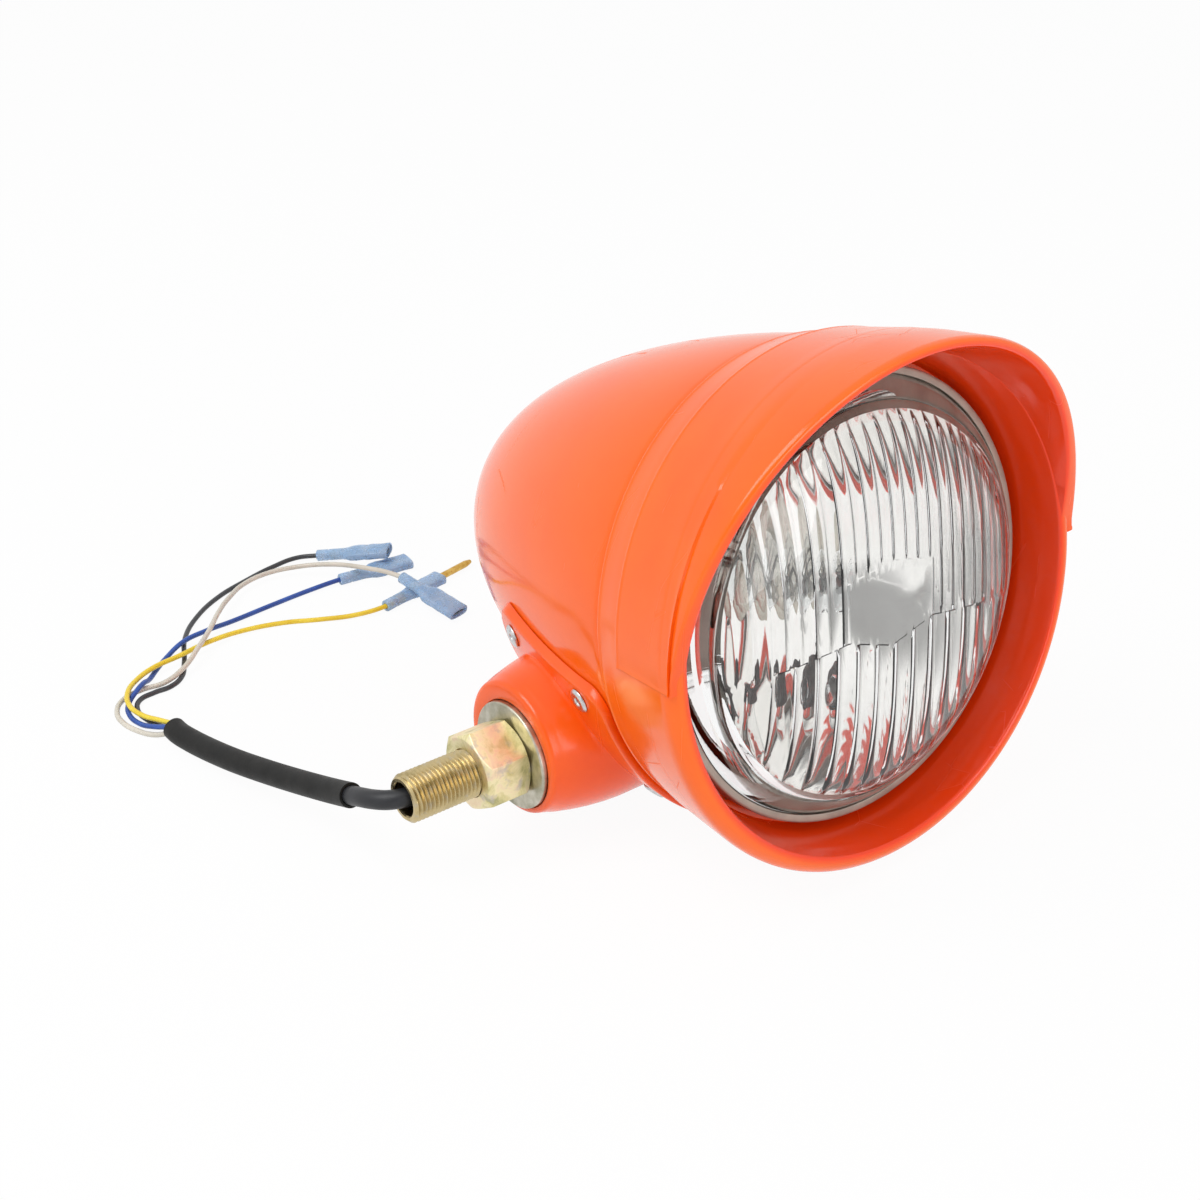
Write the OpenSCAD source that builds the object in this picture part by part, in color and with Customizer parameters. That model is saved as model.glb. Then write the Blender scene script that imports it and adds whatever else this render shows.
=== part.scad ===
// Tractor work headlight: a bullet-shaped housing with a visored front hood, a fluted lens unit
// and a hollow threaded stud on its side that clamps it to a bracket and carries the cable out.
// Row frame: origin on the stud's axis at the washer's clamping face, stud along -X, +Z up.
// Head frame: X right, Y back (the lens faces -Y), Z up, origin in the middle of the rim.

/* [Lens unit] */
// Radius of the reflector's rim
rim_r = 72; // [70:0.5:74]
// Depth of the reflector's rim wall
rim_d = 7; // [6:0.5:8]
// Thickness of the reflector's metal
metal_t = 1; // [0.8:0.1:1.2]
// Focal length of the reflector's parabola
focal = 22; // [20:0.5:24]
// Radius of the reflector's neck
neck_r = 19; // [18.5:0.5:19.5]
// Width of the reflector's flange round its bowl
flange_w = 10; // [8:0.5:11]
// Clearance of the glass inside the rim's wall
glass_gap = 1.9; // [0.5:0.1:2.5]
// Width of the glass's smooth edge round its dome
edge_w = 6.5; // [5.5:0.1:8]
// Height of the lens's crown in front of the rim
crown_h = 18; // [14:0.5:20]
// Thickness of the glass
glass_t = 3.5; // [3:0.1:4]

/* [Front hood] */
// How far the hood stands out beyond the reflector's rim at the seam with the rear shell
seam_out = 6.4; // [5.5:0.1:7]
// Distance of the seam behind the rim
seam_y = 26.9; // [26:0.1:28]
// How far the hood's front lip stands out beyond the reflector's rim
lip_out = 12.2; // [11:0.1:14]
// Distance of the lip's face in front of the rim
lip_y = 14.5; // [13:0.1:16]
// Thickness of the hood's inner wall
inner_t = 2.3; // [2:0.1:3]
// Reach of the visor in front of the lip, at the top
visor_reach = 24.4; // [16:0.1:30]
// How far the visor's layer stands proud of the hood
visor_proud = 0.8; // [0.6:0.1:1.2]
// Height of the visor's lower ends, measured from the lens axis
visor_end_z = 0.7; // [-10:0.1:5]

/* [Rear shell] */
// How far the shell lies inside the hood's seam
shell_step = 1.1; // [0.8:0.1:2]
// Length of the shell behind the seam
shell_l = 145; // [130:1:160]
// Thickness of the shell
shell_t = 2.5; // [2:0.1:3]

/* [Swivel mount] */
// Distance of the stud's axis behind the rim
stud_back = 68; // [64:1:72]
// Distance of the stud's axis below the lens axis
stud_drop = 43; // [40:1:45]
// Distance of the lens axis from the washer's clamping face
head_x = 88; // [86:0.5:90]
// Nose-up angle of the lamp as it lies on its hood
nose_up = 9; // [0:0.5:12]
// Outer radius of the stud's thread
stud_r = 8; // [7.5:0.1:9]
// Radius of the stud's bore
bore_r = 5.5; // [4.6:0.1:6]
// Length of the stud outside the washer
stud_out = 39.7; // [34:0.5:48]
// Width of the nut across its flats
nut_af = 24; // [22:0.5:27]
// Height of the nut
nut_h = 16; // [12:0.5:18]
// Radius of the large washer
washer_r = 18; // [15:0.5:20]
// Thickness of the large washer
washer_t = 3; // [2:0.1:4]
// Radius of the saddle's boss at its rim
boss_r = 22.4; // [22:0.1:23.5]
// How much wider the boss is at its foot
boss_flare = 5.1; // [3:0.1:5.5]
// Width of the saddle's flange round the shell
saddle_w = 78; // [76:1:80]
// Length of the saddle's flange along the lens axis
saddle_l = 70; // [68:1:74]
// How far the flange's middle lies in front of the stud's axis
saddle_fore = 4.5; // [3:0.5:6]
// Thickness of the saddle
saddle_t = 3; // [2.5:0.1:4]
// Angle of the saddle's middle below the horizontal
saddle_a = 40; // [38:0.5:42]
// Radius of a rivet's head
rivet_head_r = 4; // [3.4:0.1:4.6]

/* [Wiring] */
// Radius of the cable's inner sheath
tube_r = 3.1; // [2.8:0.1:3.3]
// Radius of the cable's outer sleeve
sleeve_r = 4.1; // [3.8:0.1:4.6]
// Radius of a lead
wire_r = 0.95; // [0.8:0.05:1.1]
// Length of a terminal's boot
boot_l = 31; // [28:0.5:34]
// Width of a terminal's boot at its mouth
boot_w = 9.5; // [9:0.1:11]

/* [Hidden] */
fine = 128;
round_fn = 48;
gap = 0.3;        // space between pieces that are not joined
run_gap = 0.05;   // radial clearance of a running fit
lens_r = rim_r - metal_t - glass_gap;
dome_r = lens_r - edge_w;
seam_r = rim_r + seam_out;
lip_r = rim_r + lip_out;
shell_r = seam_r - shell_step;

// Ledge of the hood that the lens unit sits against, and the clips behind it.
seat_r = rim_r + 2;
ledge_y = rim_d + 0.3;
ledge_t = 2.2;
ledge_r = rim_r - 5;
clip_t = 0.8;
clip_w = 12;
clip_count = 4;
clip_r = seat_r - 0.8;
clip_mid = (ledge_r + seat_r) / 2 + 0.5;
clip_rivet_r = 1.6;
// Glass, from its seat on the gasket to the foot of its dome
glass_y = 4;
dome_foot = 5.7;
// Reflector's bowl and the bulb in its neck
bowl_r = rim_r - flange_w;
bowl_back = bowl_r * bowl_r / (4 * focal);
vertex_y = rim_d - metal_t + bowl_back;
neck_back = vertex_y - neck_r * neck_r / (4 * focal);
neck_y = neck_back + 8;
cap_r = 9.5;
cap_l = 9;
cap_y = neck_y - cap_l;
glass_r = cap_r - 1;
bulb_reach = 20;  // length of the bulb in front of the focus
blade_l = 9;
plug_y = neck_y + 6.8;
plug_l = 17.5;
plug_w = 26;
plug_h = 19;
plug_back = plug_y + plug_l;
// Parking lamp, placed from its seat on the back of the bowl
park_z = -38;
park_r = 6.5;
park_bulb_r = 4;
park_cap_r = 4.5;
park_seat = bowl_at(-park_z - 9) + metal_t + 0.2;
park_cap_y = park_seat - 10.3;
park_cap_l = 12;
park_back = park_seat + 5.7;
// Swivel
recess_r = washer_r + 0.3;
recess_d = 1.2;
boss_x = washer_t - recess_d;
saddle_in = 7;
boss_end = 64;
boss_wall = 3;
boss_back = 1.1;   // the boss's centre, behind and above the stud's axis
boss_up = 1.6;
boss_mid = [boss_back, boss_up];
// Rivets: turn from the saddle's middle, and distance behind the stud's axis
front_rivets = -26;
back_rivet = 20;
low_rivet = 25.5;
rivet_at = [[-25.5, front_rivets], [-28.5, back_rivet], [9.5, front_rivets], [25.5, low_rivet]];
rivet_r = 2;
rivet_seat = 0.1;   // lift of a rivet's flat head off the curved flange
shank_r = stud_r - run_gap;
swivel_r = stud_r;
relief_r = stud_r - 0.8;   // thread relief at the end of the free thread
relief_w = 2;
head_r = 15;
head_t = 4;
spring_t = 1.5;
wall_gap = 0.2;
shell_hole_r = 17;
boot_in = 6;      // how far a lead goes into its boot
boot_mouth = 9;   // where the boot's flat pocket starts

// Places of the boots: entry of the lead, turn about Z, and slope, mouth upwards.
black_at = [48.5, 204.9, -28.4];
black_yaw = -47;
black_tilt = 9;
white_at = [60.1, 158.7, -22.8];
white_yaw = -76;
white_tilt = -10.5;
blue_at = [45.5, 182.5, -29.2];
blue_yaw = -6;
blue_tilt = 0;
yellow_at = [48.4, 152.5, -29.2];
yellow_yaw = 13;
yellow_tilt = 0;

// Routes of the cable and of its leads, point by point, in the row frame.
tube_route = [[20, 0, 0], [-12, 0, 0], [-24, 0, 0], [-32, 0, 0], [-38.3, 0.8, -0.1], [-42.8, 3.4, -0.6],
    [-45.5, 8.2, -1.8], [-46.4, 14, -3.8], [-46.4, 20, -6.4]];
sleeve_route = [[-46.4, 20, -6.4], [-47, 33, -11.2], [-49, 49, -15.8], [-51.5, 66, -20],
    [-54.5, 84, -23.6], [-57, 101, -26.2], [-58.8, 114, -27.3], [-59, 120, -27.4]];
black_route = [[-57.8, 120, -28.7], [-60, 128, -30.2], [-62, 136, -30.5], [-61.8, 143.5, -30.5],
    [-58, 149.5, -30.5], [-51.5, 151, -30.5], [-45, 151.2, -30.5], [-39, 154.6, -30.5],
    [-33, 164, -30.5], [-24.5, 180, -30.5], [-14, 191.5, -30.5], [1, 201.5, -30.5],
    [16, 207, -30.5], [31, 210.5, -30.2], [41, 209.8, -29.2]];
yellow_route = [[-57.8, 120, -26.2], [-60.5, 128, -27.4], [-63.4, 136, -28.2],
    [-64.2, 144.5, -28.1], [-61.3, 152.2, -27.7], [-54, 159.3, -27.9], [-45, 163.6, -28],
    [-34.5, 165.6, -28.2], [-20, 168.8, -28.5], [-5, 170.6, -29.8], [11, 167.6, -30.5],
    [24, 161, -30.5], [36, 155, -30]];
blue_route = [[-60.2, 120, -26.2], [-63, 127, -28.6], [-65.2, 135, -30.5], [-65.4, 143, -30.5],
    [-62.3, 149.4, -30], [-57, 152.9, -28.1], [-53.2, 156, -28.3], [-49.5, 159.6, -30],
    [-44, 165, -30.5], [-37, 170.8, -30.4], [-28, 174.5, -28.4], [-17.5, 176.8, -28.4],
    [-5, 179.6, -29.8], [15, 182.8, -30.5], [34, 183.6, -30]];
white_route = [[-60.2, 120, -28.7], [-64.6, 125, -30.3], [-68, 131.5, -30.5], [-69.6, 139, -30.5],
    [-68.2, 147, -30.5], [-62.4, 153.6, -30.5], [-54, 155.6, -30.5], [-46, 154, -29.8],
    [-37, 156.5, -28.2], [-27, 163.5, -26.1], [-17.3, 173, -26.1], [-8, 183.5, -26.4],
    [2, 193.7, -27.6], [13, 201.5, -28.3], [24, 203.5, -28.2], [35, 200, -27.4],
    [45, 190.5, -25.4], [53, 177, -23.7]];

// Paths of the leads inside the lamp, in the head frame.
main_path = [[-68, 69.1, -41.9], [-64, 69.1, -41.9], [-54, 71, -39], [-38, 80, -27], [-20, 90, -8],
    [-9, 88, 0], [-8, plug_back, 0]];
dipped_path = [[-68, 69.1, -44.1], [-64, 69.1, -44.1], [-53, 75, -43], [-34, 89, -29], [-14, 99, -9],
    [-1, 93, 0], [0, plug_back, 0]];
earth_path = [[-68, 66.9, -41.9], [-64, 66.9, -41.9], [-53, 66, -36], [-34, 74, -19], [-10, 100, 4],
    [7, 95, 2], [8, plug_back, 0]];
parking_path = [[-68, 66.9, -44.1], [-64, 66.9, -44.1], [-54, 63, -47], [-30, 60, -46], [-8, 62, -42],
    [0, park_back + 9, park_z], [0, park_back, park_z]];

// Shape of the bullet: a superellipse, full at the front and round at the tail
bulge_a = 1.38;
bulge_b = 2.37;
shell_y0 = seam_y + 0.1;
shell_steps = 26;
band_r = seam_r + 2.4;
band_y = seam_y - 12.5;
spigot_r = shell_r - shell_t - gap;
spigot_t = 2;
spigot_l = 8;
spigot_end_r = (shell_r - shell_t) * bulge((seam_y + spigot_l - shell_y0) / (shell_l - shell_t)) - gap;

function unit(v) = v / norm(v);
function bulge(u) = pow(max(0, 1 - pow(max(0, u), bulge_a)), 1 / bulge_b);
function shell_rad(y) = shell_r * bulge((y - shell_y0) / shell_l);
function shell_tilt(y) = atan((shell_rad(y + 1) - shell_rad(y - 1)) / 2);
function bullet(r, l) = [for (i = [1:shell_steps]) let (u = sin(90 * i / shell_steps))
    [r * bulge(u), shell_y0 + l * u]];
function turned_back(v) = [for (i = [len(v) - 1:-1:0]) v[i]];
function bowl_at(r) = vertex_y - r * r / (4 * focal);
function dome_at(r) = -dome_foot - (crown_h - dome_foot) * pow(1 - pow(r / dome_r, 3), 0.625);
function along(at, yaw, tilt, x) = at + x * [cos(tilt) * cos(yaw), cos(tilt) * sin(yaw), sin(tilt)];
function into_boot(route, at, yaw, tilt) =
    concat(route, [at, along(at, yaw, tilt, boot_in)]);

module head() {
    translate([head_x, 0, 0]) rotate([-nose_up, 0, 0]) translate([0, -stud_back, stud_drop]) children();
}

// Turns a profile of [radius, distance behind the rim] about the lens axis.
module lens_turn(profile) {
    rotate([-90, 0, 0]) rotate_extrude($fn = fine) polygon(profile);
}

// Turns a profile of [radius, distance along +X] about the stud's axis.
module stud_turn(profile) {
    rotate([90, 0, 90]) rotate_extrude($fn = round_fn * 2) polygon(profile);
}

// Round bar or hole along X from x0 to x1.
module bar_x(r, x0, x1, fn = round_fn) {
    translate([x0, 0, 0]) rotate([0, 90, 0]) cylinder(r = r, h = x1 - x0, $fn = fn);
}

// Round bar or hole along the lens axis from y0 to y1.
module bar_y(r, y0, y1, fn = round_fn) {
    translate([0, y0, 0]) rotate([-90, 0, 0]) cylinder(r = r, h = y1 - y0, $fn = fn);
}

// Brings local +X to a direction at angle a below -X, seen along the lens axis.
module outward(a) {
    rotate([0, 180 - a, 0]) children();
}

// Tube swept along a route, with a ring of flat sides at each point.
module swept(route, r, sides = 8) {
    last = len(route) - 1;
    points = [for (i = [0:last])
        let (t = unit(route[min(i + 1, last)] - route[max(i - 1, 0)]),
             u = unit(cross([0, 0, 1], t)), v = cross(t, u))
        for (k = [0:sides - 1])
            route[i] + r * (cos(360 * k / sides) * u + sin(360 * k / sides) * v)];
    sides_1 = [for (i = [0:last - 1]) for (k = [0:sides - 1])
        [i * sides + k, (i + 1) * sides + k, (i + 1) * sides + (k + 1) % sides]];
    sides_2 = [for (i = [0:last - 1]) for (k = [0:sides - 1])
        [i * sides + k, (i + 1) * sides + (k + 1) % sides, i * sides + (k + 1) % sides]];
    ends = [[for (k = [0:sides - 1]) k],
        [for (k = [sides - 1:-1:0]) last * sides + k]];
    polyhedron(points = points, faces = concat(sides_1, sides_2, ends));
}

// The four rivet places of the saddle, local +X outward and the origin on the saddle's outer face.
module at_rivets() {
    for (p = rivet_at) {
        y = stud_back + p[1];
        outward(saddle_a + p[0]) translate([shell_rad(y) + wall_gap + saddle_t, y, 0])
            rotate([0, 0, -shell_tilt(y)]) children();
    }
}

module rear_shell() {
    outer = bullet(shell_r, shell_l);
    inner = bullet(shell_r - shell_t, shell_l - shell_t);
    color("orangered") head() difference() {
        lens_turn(concat([[shell_r - 0.7, shell_y0 + 0.2], [shell_r - 0.05, shell_y0 + 1.4]], outer,
            turned_back(inner), [[shell_r - shell_t, shell_y0 + 0.2]]));
        translate([0, stud_back, -stud_drop]) bar_x(shell_hole_r, -shell_r, 0);
        at_rivets() bar_x(rivet_r + 0.1, -12, 5);
    }
}

module front_hood() {
    face = -lip_y;
    ring = [[seam_r, seam_y], [seam_r + 0.4, seam_y - 2.9], [seam_r + 1, seam_y - 5.9],
        [seam_r + 1.7, seam_y - 8.9], [band_r, band_y], [lip_r, face + 5.5], [lip_r - 0.2, face + 3],
        [lip_r - 1.7, face + 1], [lip_r - 3.4, face], [lip_r - 5, face], [lip_r - 6.1, face + 0.5],
        [seat_r + 0.6, 0], [seat_r, ledge_y], [ledge_r, ledge_y], [ledge_r, ledge_y + ledge_t],
        [seat_r + inner_t, ledge_y + ledge_t], [seat_r + 0.6 + inner_t, 0],
        [lip_r - 6.7 + inner_t, face + 3.5], [lip_r - 2.8, face + 4.5], [band_r - 2.4, band_y],
        [seam_r - 1.4, seam_y - 2.9], [spigot_r - spigot_t, seam_y - 2.9],
        [spigot_end_r - spigot_t, seam_y + spigot_l], [spigot_end_r, seam_y + spigot_l],
        [spigot_r, seam_y]];
    tip = face - visor_reach;
    layer = [[band_r + visor_proud, band_y], [lip_r + 0.5, face + 2.5],
        [lip_r + 0.8, face - 5.5], [lip_r + 1.3, tip + 2], [lip_r + 0.5, tip + 0.4], [lip_r - 0.5, tip],
        [lip_r - 1.2, tip], [lip_r - 1.8, tip + 0.5], [lip_r - 2.2, tip + 1.6], [lip_r - 6.1, face + 0.5],
        [lip_r - 4.7, face + 2], [lip_r - 1.2, face + 2.9], [band_r - 1, band_y]];
    reach_z = lip_r + 1;
    edge_y = face + 1.5;
    edge = [for (i = [0:12]) let (z = reach_z * i / 12)
        [edge_y - visor_reach * pow(z / reach_z, 1.15), z]];
    side = concat([[band_y + 1, visor_end_z], [edge_y, visor_end_z]], edge,
        [[tip - 2, reach_z + 6], [band_y + 1, reach_z + 6]]);
    color("orangered") head() difference() {
        union() {
            lens_turn(ring);
            intersection() {
                lens_turn(layer);
                rotate([90, 0, 90]) linear_extrude(height = 4 * lip_r, center = true) polygon(side);
            }
        }
        at_clips() bar_y(clip_rivet_r + 0.1, 0, ledge_y + ledge_t + 5);
    }
}

// Rounded rectangle of the saddle's flange, as a prism outward from the lens axis.
module saddle_window(corner = 8) {
    outward(saddle_a) translate([0, stud_back - saddle_fore, 0])
        rotate([90, 0, 90]) linear_extrude(height = 2 * shell_r) {
            square([saddle_l, saddle_w - 2 * corner], center = true);
            square([saddle_l - 2 * corner, saddle_w], center = true);
            for (s = [-1, 1], t = [-1, 1])
                translate([s * (saddle_l / 2 - corner), t * (saddle_w / 2 - corner)])
                    circle(corner, $fn = round_fn);
        }
}

module mount_saddle() {
    steps = 12;
    y0 = stud_back - saddle_fore - saddle_l / 2 - 2;
    y1 = stud_back - saddle_fore + saddle_l / 2 + 2;
    seat = [for (i = [0:steps]) let (y = y0 + (y1 - y0) * i / steps) [shell_rad(y) + wall_gap, y]];
    skin = [for (p = seat) [p[0] + saddle_t, p[1]]];
    foot_r = boss_r + boss_flare;
    foot_x = 32;
    out = [[boss_r - 1.6, boss_x], [boss_r - 0.6, boss_x + 0.3], [boss_r, boss_x + 1.1],
        [boss_r + boss_flare * 0.48, 12], [boss_r + boss_flare * 0.85, 21], [foot_r, foot_x]];
    color("orangered") difference() {
        union() {
            head() intersection() {
                lens_turn(concat(skin, turned_back(seat)));
                saddle_window();
            }
            intersection() {
                difference() {
                    translate([0, boss_mid[0], boss_mid[1]]) stud_turn(concat([[0, boss_x],
                        [0, saddle_in], [boss_r - boss_wall, saddle_in],
                        [foot_r - boss_wall, foot_x], [foot_r - boss_wall, boss_end],
                        [foot_r, boss_end]], turned_back(out)));
                    head() lens_turn(concat([[0, y0]], seat, [[0, y1]]));
                }
                head() saddle_window();
            }
        }
        bar_x(recess_r, boss_x - 1, washer_t);
        bar_x(swivel_r, 0, saddle_in + 1);
        translate([0, boss_mid[0], boss_mid[1]])
            bar_x(boss_r - boss_wall, saddle_in, head_x - shell_rad(stud_back) * 0.6);
        head() at_rivets() bar_x(rivet_r + 0.1, -saddle_t - 1, 3);
    }
}

module saddle_rivets() {
    grip = saddle_t + wall_gap + shell_t;
    foot = -grip - 0.2;
    color("silver") head() at_rivets() difference() {
        union() {
            translate([rivet_seat, 0, 0]) stud_turn([[0, 0], [rivet_head_r, 0], [rivet_head_r, 0.3],
                [rivet_head_r - 1, 1.1], [rivet_head_r - 1.8, 1.3], [0, 1.3]]);
            bar_x(rivet_r, foot, rivet_seat + 0.1);
            bar_x(rivet_r + 1, foot - 2.2, foot);
        }
        bar_x(rivet_r - 0.7, -3, 2);
    }
}

module stud() {
    free_x = -nut_h - 0.5;
    head_x0 = saddle_in + spring_t;
    color("darkkhaki") difference() {
        stud_turn([[0, -stud_out], [stud_r - 1, -stud_out], [stud_r, -stud_out + 1], [stud_r, free_x],
            [relief_r, free_x], [relief_r, free_x + relief_w], [shank_r, free_x + relief_w],
            [shank_r, head_x0], [head_r, head_x0], [head_r, head_x0 + head_t],
            [0, head_x0 + head_t]]);
        bar_x(bore_r, -stud_out - 1, head_x0 + head_t + 1);
    }
}

module stud_nut() {
    corner = nut_af / sqrt(3);
    color("darkkhaki") difference() {
        intersection() {
            translate([-nut_h, 0, 0]) rotate([0, 90, 0]) cylinder(r = corner, h = nut_h, $fn = 6);
            stud_turn([[0, -nut_h], [nut_af / 2 - 0.4, -nut_h], [corner, -nut_h + 1.4],
                [corner, -1.4], [nut_af / 2 - 0.4, 0], [0, 0]]);
        }
        bar_x(stud_r + run_gap, -nut_h - 1, 1);
    }
}

module stud_washer() {
    color("lightgray") difference() {
        stud_turn([[0, 0], [washer_r - 0.4, 0], [washer_r, 0.4], [washer_r, washer_t], [0, washer_t]]);
        bar_x(stud_r + gap, -1, washer_t + 1);
    }
}

module friction_washer() {
    color("gray") difference() {
        bar_x(head_r - 2, saddle_in, saddle_in + spring_t);
        bar_x(shank_r + gap, saddle_in - 1, saddle_in + spring_t + 1);
    }
}

module cable_bush() {
    head_end = saddle_in + spring_t + head_t;
    color("dimgray") difference() {
        union() {
            bar_x(bore_r - 0.1, head_end - 5, head_end + 0.5);
            bar_x(bore_r + 2, head_end, head_end + 2);
        }
        bar_x(tube_r + 0.1, head_end - 6, head_end + 3);
    }
}

module lens() {
    steps = 12;
    in_r = dome_r - glass_t;
    out = [for (i = [0:steps]) let (r = dome_r * sin(90 * i / steps)) [r, dome_at(r)]];
    inside = [for (i = [0:steps]) let (r = in_r * sin(90 * i / steps)) [r, dome_at(r) + glass_t]];
    color([0.85, 0.92, 0.95, 0.4]) head()
        lens_turn(concat(out, [[lens_r, 0.4], [lens_r, glass_y], [in_r + 0.6, glass_y]],
            turned_back(inside)));
}

module reflector() {
    steps = 14;
    bowl = [for (i = [0:steps]) let (r = bowl_r + (neck_r - bowl_r) * i / steps) [r, bowl_at(r)]];
    back = [for (i = [0:steps])
        let (r = neck_r + metal_t + (bowl_r + 0.7 - neck_r - metal_t) * i / steps)
        [r, bowl_at(r) + metal_t]];
    color("lightgray") head() difference() {
        union() {
            lens_turn(concat([[lens_r + gap, 0], [rim_r, 0], [rim_r, rim_d]], turned_back(back),
                [[neck_r + metal_t, neck_y], [neck_r, neck_y]], turned_back(bowl),
                [[rim_r - metal_t, rim_d - metal_t], [rim_r - metal_t, 0.8], [lens_r + gap, 0.8]]));
            for (a = [0:120:240]) rotate([0, a, 0])
                translate([neck_r + 0.6, neck_y - 4, 0]) rotate([0, 90, 0]) cylinder(r = 1, h = 1.6, $fn = 24);
        }
        translate([0, 0, park_z]) bar_y(park_r + gap, rim_d + 12, neck_y);
    }
}

module lens_gasket() {
    color("dimgray") head()
        lens_turn([[dome_r - 1.4, glass_y], [lens_r, glass_y], [lens_r, rim_d - metal_t],
            [dome_r + 0.2, rim_d - metal_t]]);
}

// Places of the spring clips round the ledge, local +X outward.
module at_clips() {
    for (i = [0:clip_count - 1]) rotate([0, 45 + 360 / clip_count * i, 0])
        translate([clip_mid, 0, 0]) children();
}

module spring_clips() {
    y0 = ledge_y + ledge_t;
    hook_r = 2 * sqrt(focal * (vertex_y + metal_t - y0)) + gap;
    color("lightgray") head() at_clips() difference() {
        translate([hook_r - clip_mid, y0, -clip_w / 2]) {
            cube([clip_r - hook_r, clip_t, clip_w]);
            cube([clip_t, 6, clip_w]);
        }
        bar_y(clip_rivet_r + 0.1, y0 - 1, y0 + 5);
    }
}

module clip_rivets() {
    y0 = ledge_y;
    y1 = ledge_y + ledge_t + clip_t;
    color("silver") head() at_clips() {
        bar_y(clip_rivet_r, y0, y1);
        bar_y(clip_rivet_r + 1.4, y1, y1 + 1.2);
    }
}

module bulb_base() {
    color("silver") head() {
        bar_y(neck_r + 3.5, neck_y, neck_y + 1.5);
        bar_y(cap_r, cap_y, neck_y);
        bar_y(cap_r + 1.5, neck_y + 1.5, neck_y + 6);
    }
}

module bulb_glass() {
    dome_y = vertex_y - focal - bulb_reach + glass_r;
    wall = 0.8;
    color([0.9, 0.95, 1, 0.4]) head() difference() {
        union() {
            bar_y(glass_r, dome_y, cap_y);
            translate([0, dome_y, 0]) sphere(glass_r, $fn = round_fn);
        }
        bar_y(glass_r - wall, dome_y, cap_y + 1);
        translate([0, dome_y, 0]) sphere(glass_r - wall, $fn = round_fn);
    }
}

module bulb_filaments() {
    focus_y = vertex_y - focal;
    color("gray") head() {
        for (x = [-3, 3]) translate([x, 0, 0]) bar_y(0.4, focus_y, cap_y, 16);
        translate([0, focus_y, 0]) bar_x(0.7, -3.2, 3.2, 16);
        for (x = [-4.6, 4.6]) translate([x, 0, 2]) bar_y(0.4, focus_y - 6, cap_y, 16);
        translate([0, focus_y - 6, 2]) bar_x(0.7, -4.8, 4.8, 16);
    }
}

module dip_shield() {
    focus_y = vertex_y - focal;
    color("silver") head() {
        difference() {
            translate([0, 0, 1.2]) bar_y(3.6, focus_y - 11, focus_y - 2);
            translate([0, 0, 1.2]) bar_y(3, focus_y - 10.4, focus_y - 2.6);
            translate([-5, focus_y - 12, 0.6]) cube([10, 12, 6]);
        }
        translate([0, 0, -2.6]) bar_y(0.5, focus_y - 2.4, cap_y, 16);
    }
}

module bulb_contacts() {
    y0 = neck_y + 6;
    color("silver") head() {
        translate([-4, y0, 6.6]) cube([8, blade_l, 0.8]);
        for (s = [-1, 1]) translate([s * 7.4 - 0.4, y0, -5]) cube([0.8, blade_l, 8]);
    }
}

module bulb_ring() {
    flange_r = neck_r + 3.5;
    color("lightgray") head() difference() {
        union() {
            lens_turn([[flange_r + gap, neck_y - 6.5], [flange_r + 1.5, neck_y - 6.5],
                [flange_r + 1.5, neck_y + 2.5], [flange_r - 8.5, neck_y + 2.5],
                [flange_r - 8.5, neck_y + 1.5], [flange_r + gap, neck_y + 1.5]]);
            for (a = [20:120:260]) rotate([0, a, 0])
                translate([neck_r + metal_t + gap, neck_y - 6.5, -4]) cube([3.4, 1, 8]);
        }
        bar_y(neck_r + metal_t + gap, neck_y - 8, neck_y);
    }
}

module bulb_connector() {
    pocket_l = blade_l + 1.5;
    color("dimgray") head() difference() {
        translate([-plug_w / 2, plug_y, 0.5 - plug_h / 2]) cube([plug_w, plug_l, plug_h]);
        translate([-4.6, plug_y - 1, 5.9]) cube([9.2, pocket_l, 2.2]);
        for (s = [-1, 1]) translate([s * 7.4 - 1.1, plug_y - 1, -5.6]) cube([2.2, pocket_l, 9.2]);
    }
}

module parking_holder() {
    color("dimgray") head() translate([0, 0, park_z]) difference() {
        union() {
            bar_y(park_r, park_seat - 13, park_back);
            bar_y(park_r + 2.5, park_seat, park_seat + 2);
        }
        bar_y(park_cap_r + 0.2, park_seat - 14, park_cap_y + park_cap_l);
    }
}

module parking_base() {
    color("silver") head() translate([0, 0, park_z])
        bar_y(park_cap_r, park_cap_y, park_cap_y + park_cap_l);
}

module parking_bulb() {
    color([0.9, 0.95, 1, 0.4]) head() translate([0, 0, park_z]) {
        bar_y(park_bulb_r, park_cap_y - 8, park_cap_y);
        translate([0, park_cap_y - 8, 0]) sphere(park_bulb_r, $fn = round_fn);
    }
}

module lead_main() {
    color("black") head() swept(main_path, wire_r);
}

module lead_dipped() {
    color("white") head() swept(dipped_path, wire_r);
}

module lead_earth() {
    color("royalblue") head() swept(earth_path, wire_r);
}

module lead_parking() {
    color("gold") head() swept(parking_path, wire_r);
}

module cable_tube() {
    color("dimgray") swept(tube_route, tube_r, 12);
}

module cable_sleeve() {
    color("black") swept(sleeve_route, sleeve_r, 12);
}

module wire_black() {
    color("black") swept(into_boot(black_route, black_at, black_yaw, black_tilt), wire_r);
}

module wire_white() {
    color("white") swept(into_boot(white_route, white_at, white_yaw, white_tilt), wire_r);
}

module wire_blue() {
    color("royalblue") swept(into_boot(blue_route, blue_at, blue_yaw, blue_tilt), wire_r);
}

module wire_yellow() {
    color("gold") swept(into_boot(yellow_route, yellow_at, yellow_yaw, yellow_tilt), wire_r);
}

// Puts a part of a lead's end in place, with local +X from the lead's entry to the mouth.
module placed(at, yaw, tilt) {
    translate(at) rotate([0, -tilt, yaw]) children();
}

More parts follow.
